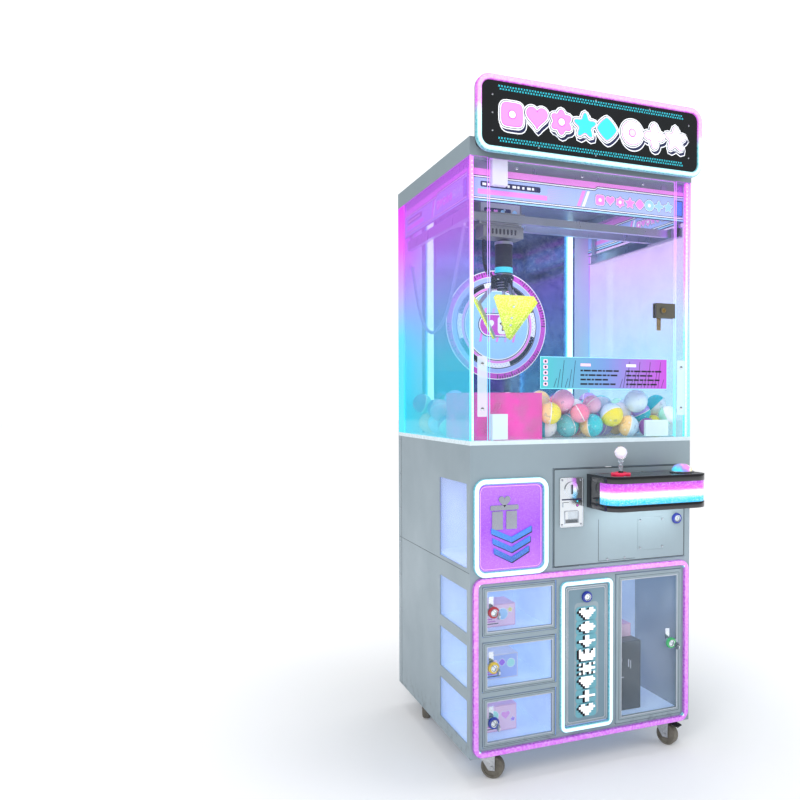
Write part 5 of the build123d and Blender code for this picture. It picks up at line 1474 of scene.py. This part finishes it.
# a band round the front and sides: each point of its section, as (distance inwards, height), follows the plan
def makeControlBox():
    z0, z1 = boxLook["z"]
    f0, f1 = boxLook["film"]
    section = [(0.2, z0 + 0.6), (-2.0, z0 + 0.6), (-2.4, z0 + 1.6), (-2.4, f0 - 1), (-2.0, f0 - 0.2),
               (-0.5, f0), (-0.5, f1),
               (-2.0, f1 + 0.2), (-2.4, f1 + 1), (-2.4, z1 - 1.6), (-2.0, z1 - 0.4), (0.2, z1 - 0.4)]
    count = len(boxPlan(np.zeros(boxLook["planPoints"])))
    filmed = np.ones(count, bool)
    filmed[:2] = filmed[-2:] = False
    rows = []
    for inset, height in section:
        steps = np.where(filmed | (inset != -0.5), inset, -2.4)
        plan = boxPlan(steps)
        rows.append(spots(plan[:, 0], plan[:, 1], height))
    faces = gridFaces(len(section), count, wrapRows=True)
    ends = [[row * count + column for row in range(len(section))] for column in (0, count - 1)]
    box = addPiece("controlBoxBand", [(np.concatenate(rows), faces + ends)], paints["blackGloss"],
                   "control_door",
                   smooth=30)
    box.data.materials.append(paints["boxFilm"])
    centre, _ = pieceFaces(box)
    depth, height = centre[:, 1], centre[:, 2]
    film = (np.abs(height - (f0 + f1) / 2) < (f1 - f0) / 2 - 0.1) & (depth < boxLook["filmFrom"] - 1)
    box.data.polygons.foreach_set("material_index", film.astype(np.int32))
    lamp = platePart(roundedRectangle((18, 318), (-34, -24), 2, 4), onTop(z0), -2.6, 0.2)
    addPiece("boxLampStrip", [lamp], paints["lampWhite"], "control_door", bevel=0.5)
    deck = framePart(roundedRectangle((8, 329), (-131, -8), 38, 8),
                     roundedRectangle((11, 326), (-128, -11), 35, 8), onTop(z1), -0.3, 0.7)
    addPiece("boxTopTrim", [deck], paints["steel"], "control_door")
    screws = [(16, -20), (321, -20), (52, -124), (285, -124), (170, -20)]
    addPiece("boxTopScrews", screwParts(screws, onTop(z1), 0.0, 2.8), paints["chrome"], "control_door")


def pieceFaces(piece):
    mesh = piece.data
    centre, normal = np.zeros(len(mesh.polygons) * 3), np.zeros(len(mesh.polygons) * 3)
    mesh.polygons.foreach_get("center", centre)
    mesh.polygons.foreach_get("normal", normal)
    centre = centre.reshape(-1, 3) / mm
    centre[:, 1] -= frontY / mm
    return centre, normal.reshape(-1, 3)


stick = {"x": 73, "d": -70, "top": 862, "ball": 926, "ballRadius": 19.5}


# turned parts on one axis: collar, nut, clear stem, and a ball with a sparkling core
def makeStick():
    place = (stick["x"], stick["d"], 0)
    base = stick["top"]
    collar = turnedPart(place, "z", [(17.6, base + 0.2), (28, base + 0.2), (28.6, base + 1.5),
                                     (28.6, base + 5.2),
                                     (27.6, base + 6.8), (20, base + 7.5), (17.6, base + 6.8)], 48)
    collar = (collar[0], gridFaces(7, 48, wrapRows=True, wrapColumns=True))
    addPiece("stickCollar", [collar], paints["redGlow"], "control_door")
    boot = turnedPart(place, "z", [(5.2, base - 6), (7.4, base - 6), (7.8, base - 4), (7.2, base + 8),
                                   (6.2, base + 11), (5.2, base + 11)], 32)
    addPiece("stickBoot", [boot], paints["blackRubber"], "joystick")
    stem = turnedPart(place, "z", [(5, base - 40), (5, base + 18), (7, base + 20), (7, base + 25),
                                   (5, base + 27), (5, base + 34),
                                   (8.5, base + 38), (8.5, base + 42), (6, base + 44)], 24)
    addPiece("stickStem", [stem], paints["clearStem"], "joystick", ["joystick"])
    lift = np.linspace(-pi / 2, pi / 2, 25)
    r, h = stick["ballRadius"], stick["ball"]
    facet = 1 + 0.006 * np.cos(24 * lift)
    ball = turnedPart(place, "z", np.stack([r * facet * np.cos(lift), h + r * facet * np.sin(lift)], 1), 40)
    addPiece("stickBall", [ball], paints["crystal"], "joystick", smooth=60)
    core = turnedPart(place, "z", np.stack([0.62 * r * np.cos(lift), h + 0.62 * r * np.sin(lift)], 1), 28)
    addPiece("stickCore", [core], paints["sparkle"], "joystick", smooth=60)


button = {"x": 284, "d": -70, "rim": 866, "radius": 29.7, "top": 888}


# a bezel ring and a dome that is part of a globe on a short skirt
def makeButton():
    place = (button["x"], button["d"], 0)
    low, r = button["rim"], button["radius"]
    bezel = turnedPart(place, "z", [(30.4, low - 3.8), (36, low - 3.8), (36.6, low - 1), (35, low + 0.6),
                                    (32, low + 1.2), (30.4, low)], 56)
    bezel = (bezel[0], gridFaces(6, 56, wrapRows=True, wrapColumns=True))
    addPiece("buttonBezel", [bezel], paints["chrome"], "control_door")
    turn = np.linspace(0, pi / 2, 14)
    rise = button["top"] - low - 2
    dome = np.concatenate([[(r, low - 14), (r, low)], np.stack([r * np.cos(turn) ** 0.8,
        low + 2 + rise * np.sin(turn)], 1)])
    dome[-1, 0] = 0
    addPiece("buttonDome", [turnedPart(place, "z", dome, 56)], paints["rainbowDome"], "start_button",
             ["start_button"], smooth=60)


makeControlBox()
makeStick()
makeButton()
print("control box made")


fins = {"centre": (-207, 130), "pivot": (32, 1412), "reach": 40, "drop": 50, "tipInset": 6, "tipDrop": 152,
        "width": 130, "height": 128, "skin": 2.1, "angles": {"front": -90, "left": 150, "right": 30}}


# the fin's own plane leans with the lower half of its arm; (across, up it, out of it) become a place
def finPlace(angle):
    r, z = fins["pivot"]
    elbow = np.array([r + fins["reach"], z - fins["drop"]])
    tip = np.array([r - fins["tipInset"], z - fins["tipDrop"]])
    up = (elbow - tip) / np.linalg.norm(elbow - tip)
    out = np.array([up[1], -up[0]])
    low = tip + (4.5, -2)
    a = radians(angle)

    def onto(u, v, offset):
        radial, height = (low[axis] + v * up[axis] + offset * out[axis] for axis in (0, 1))
        x = fins["centre"][0] + radial * cos(a) - u * sin(a)
        d = fins["centre"][1] + radial * sin(a) + u * cos(a)
        return spots(x, d, height)

    return onto


# acrylic fins: a skin round each plate, a pressed edge, and bolts through the arm
def makeFins():
    half, height, skin = fins["width"] / 2, fins["height"], fins["skin"]
    outline = np.array([(-3.5, -0.5), (3.5, -0.5), (half + 0.6, height - 8), (half - 6, height + 0.5),
                        (6 - half, height + 0.5),
                        (-half - 0.6, height - 8)])
    for name, angle in fins["angles"].items():
        onto = finPlace(angle)
        middle = outline.mean(axis=0)
        inner = middle + (outline - middle) * 0.86
        plate = platePart(outline, onto, -skin, skin)
        rims = [framePart(outline, inner, onto, level, level + 1.0) for level in (skin - 0.2, -skin - 0.8)]
        addPiece("clawFin" + name.capitalize(), [plate] + rims, paints["fin"], "arm_" + name,
                 bevel=0.3)
        bolts = screwParts([(0, 40), (0, 62), (0, 96)], onto, skin, 4.0, 2.4)
        addPiece("clawFinBolts" + name.capitalize(), bolts, paints["chrome"], "arm_" + name)


def makeClawDetails():
    x, d = fins["centre"]
    bands = []
    for low, high, radius in ((1443, 1447, 27.2), (1449, 1466, 26.7), (1532, 1541, 27.0)):
        bands.append(turnedPart((x, d, 0), "z", [(radius - 1.6, low), (radius, low + 0.6),
                                                 (radius, high - 0.6), (radius - 1.6, high)], 48))
    addPiece("solenoidBands", [bands[0], bands[2]], paints["steel"], "claw")
    addPiece("solenoidLabel", [bands[1]], paints["cyanFilm"], "claw")
    parts = []
    for turn in np.radians((20, 80, 140, 200, 260, 320)):
        parts.append(turnedPart((x + 23 * cos(turn), d + 23 * sin(turn), 0), "z",
                                [(3.2, 1429.2), (3.6, 1430), (3.6, 1432.4)], 6))
    addPiece("clawFlangeBolts", parts, paints["chrome"], "claw")
    ribs = [turnedPart((x, d, 0), "z", [(19, low), (20.7, low + 0.8), (20.7, low + 2.2), (19, low + 3)], 36)
            for low in (1404, 1412, 1420)]
    addPiece("clawHubRibs", ribs, paints["zinc"], "claw")


trolleyLook = {"u": (-301, -167), "v": (1581, 1653), "depth": 92}


def makeTrolleyDetails():
    (u0, u1), (v0, v1) = trolleyLook["u"], trolleyLook["v"]
    onto = onFront(trolleyLook["depth"])
    shapes = [(rectangle((u0 + 6, u1 - 6), (v0 + 6, v1 - 6)), "silver", 0),
              (rectangle((u0 + 9, u1 - 9), (v0 + 9, v0 + 13)), "navy", 1),
              (roundedRectangle((u0 + 16, u1 - 34), (v0 + 28, v0 + 48), 4, 4), "navy", 1),
              (plainShape("star", (u0 + 30, v0 + 38), 8, 20), "pink", 2),
              (plainShape("heart", (u0 + 52, v0 + 38), 7, 24), "pink", 2),
              (plainShape("disc", (u0 + 74, v0 + 38), 6.5, 20), "sky", 2),
              (plainShape("gem", (u1 - 22, v0 + 38), 9, 16), "sky", 1)]
    printPiece("trolleyLabel", shapes, onto, inks, paints["ink"], "trolley", layer=0.15)
    screws = [(u0 + 5, v0 + 5), (u1 - 5, v0 + 5), (u0 + 5, v1 - 5), (u1 - 5, v1 - 5)]
    addPiece("trolleyScrews", screwParts(screws, onto, 0.0, 2.4), paints["chrome"], "trolley")
    slots = [platePart(roundedRectangle((-270 + 12 * i, -264 + 12 * i), (1557, 1573), 2.5, 4), onFront(100),
                       0, 0.6) for i in range(8)]
    addPiece("trolleyVents", slots, paints["blackRubber"], "trolley")
    ends = []
    for side in (-1, 1):
        for way in (-45, 45):
            place = (side * 341.5, 130 + way, 1598)
            ends.append(turnedPart(place, "x", [(0, side * -1.4), (4, side * -1.4), (4.6, side * -0.8),
                                                (4.6, side * 0.2)], 6))
    addPiece("bridgeAxleNuts", ends, paints["chrome"], "bridge")


makeFins()
makeClawDetails()
makeTrolleyDetails()
print("claw and trolley dressed")


lockLook = [("locker_door_top", (-296, 486.5), "redRing"),
            ("locker_door_middle", (-296, 331.5), "yellowRing"),
            ("locker_door_bottom", (-296, 176.5), "blueRing"), ("tall_door", (295, 331.5), "greenRing"),
            ("centre_door", (0, 502), "blueRing"), ("control_door", (314, 714), "blueRing")]


# a coloured collar round each lock, with a bright inner lip; it stops short of the turning plug
def makeLockRings():
    for body, (u, v), paint in lockLook:
        place = (u, 0, v)
        ring = turnedPart(place, "d", [(9.6, -6.8), (9.6, -9.2), (12.2, -9.6), (15.6, -8.2), (16.6, -5.5),
                                       (16.6, -2.0), (12.8, -2.0), (12.8, -6.8)],
                          40)
        ring = (ring[0], gridFaces(8, 40, wrapRows=True, wrapColumns=True))
        name = "".join(word.capitalize() for word in body.split("_"))
        addPiece("lockRing" + name, [ring], paints[paint], body)
        lip = turnedPart(place, "d", [(8.8, -7.1), (8.8, -10.0), (10.2, -10.2), (10.6, -9.3), (10.6, -7.1)],
                         36)
        lip = (lip[0], gridFaces(5, 36, wrapRows=True, wrapColumns=True))
        addPiece("lockLip" + name, [lip], paints["chrome"], body)


# cartons with printed faces stand on each locker's floor
def makeCarton(name, x, d, z, paint, marks, shade):
    onto = onFront(d[0])
    addPiece(name, [blockPart(x, d, z)], paints[paint], "root", bevel=1.2)
    wide, tall = x[1] - x[0], z[1] - z[0]
    shapes = [(rectangle((x[0] + 3, x[1] - 3), (z[0] + 3, z[1] - 3)), shade, 0)]
    for kind, u, v, size, ink in marks:
        shapes.append((plainShape(kind, (x[0] + u * wide, z[0] + v * tall), size + 1.6, 32), "white", 1))
        shapes.append((plainShape(kind, (x[0] + u * wide, z[0] + v * tall), size, 32), ink, 2))
    for line in range(3):
        low = z[0] + 8 + 7 * line
        shapes.append((rectangle((x[0] + 8, x[0] + wide * (0.5 - 0.09 * line)), (low, low + 3)),
                       "deepPink" if line else "navy", 1))
    printPiece(name + "Print", shapes, onto, inks, paints["ink"], "root", layer=0.15)
    side = [(rectangle((d[0] + 4, d[1] - 4), (z[0] + 4, z[0] + 0.4 * tall)), "lilac", 0),
            (plainShape("star", ((d[0] + d[1]) / 2, z[0] + 0.68 * tall), 12, 24), "pink", 0)]
    printPiece(name + "Side", side, onSide(x[0], -1), inks, paints["ink"], "root", layer=0.15)


def makeContents():
    art = [("flower", 0.26, 0.66, 14, "pink"), ("disc", 0.62, 0.55, 16, "sky"),
           ("star", 0.84, 0.72, 8, "yellow")]
    other = [("heart", 0.30, 0.62, 13, "rose"), ("gem", 0.55, 0.66, 11, "violet"),
             ("disc", 0.80, 0.60, 12, "mint")]
    third = [("disc", 0.30, 0.62, 15, "mint"), ("heart", 0.66, 0.58, 15, "pink"),
             ("star", 0.88, 0.40, 7, "violet")]
    makeCarton("cartonTop", (-290, -180), (105, 190), (412.6, 478), "cartonPink", art, "rose")
    makeCarton("cartonMiddle", (-286, -172), (105, 190), (257.6, 330), "cartonCream", other, "pale")
    makeCarton("cartonBottom", (-282, -176), (105, 190), (102.2, 178), "cartonPink", third, "rose")
    addPiece("blackCarton", [blockPart((128, 252), (96, 150), (102.2, 318))], paints["blackCarton"], "root",
             bevel=1.5)
    onto = onFront(96)
    shapes = [(plainShape("disc", (176, 262), 8, 30), "silver", 0),
              (plainShape("disc", (176, 262), 6.8, 30), "black", 1),
              (rectangle((205, 209), (238, 262)), "silver", 0),
              (rectangle((213, 216), (232, 258)), "silver", 0),
              (rectangle((146, 190), (206, 209)), "silver", 0)]
    printPiece("blackCartonPrint", shapes, onto, inks, paints["darkInk"], "root", layer=0.15)
    makeCarton("cartonTall", (150, 262), (170, 240), (102.2, 352), "cartonPink", art, "rose")


# front of the control door: seam of the folded sheet, access plate and its screws
def makeControlDoorDetails():
    onto = onFront(-2)
    low, high = (175, 270), (625, 722)
    parts = [platePart(roundedRectangle(low, high, 2, 4), onto, 0, 1.0)]
    seam = [platePart(rectangle((38.6, 39.8), (603, 726)), onto, 0, 0.35),
            platePart(rectangle((39.8, 165), (602.4, 603.4)), onto, 0, 0.35)]
    addPiece("accessPlate", parts, paints["cabinet"], "control_door", bevel=0.4)
    addPiece("controlDoorSeams", seam, paints["shadowLine"], "control_door")
    screws = [(183, 632), (262, 632), (183, 715), (262, 715)]
    parts = screwParts(screws, onto, 1.0, 3.4) + screwParts([(70, 607), (129, 607)], onto, 0.0, 3.6)
    addPiece("controlDoorScrews", parts, paints["steel"], "control_door")
    # a painted shade line round the door's edge, where it meets the fascia
    outer = roundedRectangle((-108.4, 343.4), (596.6, 878.4), 3, 4)
    inner = roundedRectangle((-106.2, 341.2), (598.8, 876.2), 2, 4)
    addPiece("controlDoorEdgeShade", [framePart(outer, inner, onto, -0.1, 0.25)], paints["shadowLine"],
             "control_door")


# painted shade lines in the recesses round the four lower doors' windows, with a steel-finished seal in each
def makeWindowSeals():
    windows = [("locker_door_bottom", (-314, -113), (123, 234)),
               ("locker_door_middle", (-314, -113), (278, 389)),
               ("locker_door_top", (-314, -113), (433, 544)), ("tall_door", (120, 316), (129, 538))]
    for body, u, v in windows:
        outer = roundedRectangle((u[0] - 3, u[1] + 3), (v[0] - 3, v[1] + 3), 4, 5)
        inner = roundedRectangle((u[0] - 0.4, u[1] + 0.4), (v[0] - 0.4, v[1] + 0.4), 2, 5)
        name = "".join(word.capitalize() for word in body.split("_"))
        addPiece("windowSeal" + name, [framePart(outer, inner, onFront(-2), -1.5, 1.0)], paints["steel"],
                 body)
        lip = [framePart(roundedRectangle((u[0] - 10, u[1] + 10), (v[0] - 10, v[1] + 10), 3, 4),
                         roundedRectangle((u[0] - 9, u[1] + 9), (v[0] - 9, v[1] + 9), 2, 4), onFront(-2),
                         -0.1, 0.2)]
        addPiece("windowRecessShade" + name, lip, paints["shadowLine"], body)


makeLockRings()
makeContents()
makeControlDoorDetails()
makeWindowSeals()
print("doors dressed")


def makeCabinTrim():
    parts, screws = [], []
    for side in (-1, 1):
        u = sorted((side * 315, side * 343))
        parts.append(platePart(roundedRectangle(u, (1031, 1198), 3, 5), onFront(0), 0, 2.6))
        screws += screwParts([(side * 329, 1052), (side * 329, 1176)], onFront(0), 2.6, 5.0, 2.0)
    addPiece("stripPlates", parts, paints["clearTrim"], "root", bevel=0.5)
    addPiece("stripPlateScrews", screws, paints["chrome"], "root")
    dots = []
    for side in (-1, 1):
        for number in range(66):
            v = 976 + number * 11.6
            dots.append((plainShape("disc", (side * 355, v), 2.0, 6), "white", 0))
    printPiece("cornerDiodes", dots, onFront(7.6), inks, paints["iconInk"], "root", layer=0.4)
    bolts = screwParts([(-210, 1731), (0, 1731), (210, 1731)], onFront(30), 0.0, 4.2)
    addPiece("headerBolts", bolts, paints["chrome"], "root")
    camera = [platePart(roundedRectangle((288, 342), (1688, 1738), 7, 6), onFront(600), 0, 16)]
    addPiece("cabinSpeaker", camera, paints["whitePlastic"], "root", bevel=1.5)
    ring = turnedPart((315, 584, 1713), "d", [(9, 0), (9, -2), (13, -2.4), (15, -1.4), (15, 0)], 32)
    addPiece("cabinSpeakerRing", [(ring[0], gridFaces(5, 32, wrapRows=True, wrapColumns=True))],
             paints["blueRing"], "root")


# side panels: a painted shade line along each fold, rows of rivets; back: a service door, its lock and
# hinges, a socket with its hood
def makeSidesAndBack():
    left, right = nodeLimits("side_panel_left")[0][0], nodeLimits("side_panel_right")[0][1]
    lines, rivets = [], []
    for across, way in ((left, -1), (right, 1)):
        onto = onSide(across, way)
        lines += [platePart(rectangle((656, 657.2), (86, 950)), onto, 0, 0.35),
                  platePart(rectangle((6, 684), (598, 599.2)), onto, 0, 0.35)]
        rivets += screwParts([(671, v) for v in range(110, 940, 118)], onto, 0.0, 3.0)
    addPiece("sideFoldShade", lines, paints["shadowLine"], "root")
    addPiece("sideRivets", rivets, paints["steel"], "root")
    back = nodeLimits("rear_frame")[1][1]
    onto = onBack(back)
    door = [platePart(roundedRectangle((-230, 230), (180, 660), 6, 5), onto, 0, 2.2)]
    addPiece("serviceDoor", door, paints["cabinet"], "root", bevel=0.8)
    hinges = [turnedPart((-233, back + 3, v), "z", [(0, -24), (3.4, -24), (3.4, 24), (0, 24)], 16)
              for v in (250, 420, 590)]
    addPiece("serviceHinges", hinges, paints["steel"], "root")
    lock = turnedPart((205, back + 2.2, 420), "d", [(12, 0), (12, 3.2), (10, 4), (5, 4), (5, 3), (0, 3)], 32)
    addPiece("serviceLock", [lock], paints["chrome"], "root")
    shapes = [platePart(roundedRectangle((-330, -262), (104, 160), 5, 5), onto, 0, 3),
              platePart(roundedRectangle((-322, -292), (112, 152), 3, 4), onto, 3, 6)]
    addPiece("powerInlet", shapes, paints["blackGloss"], "root", bevel=0.6)
    pins = [platePart(roundedRectangle((-316 + k * 8, -312 + k * 8), (126, 138), 1, 3), onto, 6, 7.2)
            for k in range(3)]
    addPiece("powerPins", pins, paints["chrome"], "root")
    switch = [platePart(roundedRectangle((-286, -270), (118, 146), 2, 4), onto, 3, 7)]
    addPiece("powerSwitch", switch, paints["redRing"], "root", bevel=1.2)
    frames = [framePart(roundedRectangle((-102, 102), (690, 800), 5, 5),
                        roundedRectangle((-97, 97), (695, 795), 3, 5), onto, 0, 1.2)]
    addPiece("ventFrame", frames, paints["cabinet"], "root")
    screws = screwParts([(u, v) for u in (-350, 350) for v in (120, 330, 540, 750, 930, 1150, 1400, 1650)],
                        onto, 0.0, 3.4)
    addPiece("backScrews", screws, paints["steel"], "root")
    roof = nodeLimits("roof_cover")[2][1]
    lids = [platePart(roundedRectangle((-150, 150), (300, 520), 8, 5), onTop(roof), 0, 2.0)]
    addPiece("roofHatch", lids, paints["cabinet"], "root", bevel=0.8)
    tops = [(u, v) for u in (-140, 140) for v in (312, 508)] + [(u, v) for u in (-345, 345)
        for v in (40, 340, 640)]
    addPiece("roofScrews", screwParts(tops, onTop(roof), 0.0, 3.2), paints["steel"], "root")


makeCabinTrim()
makeSidesAndBack()
print("trim, sides and back made")
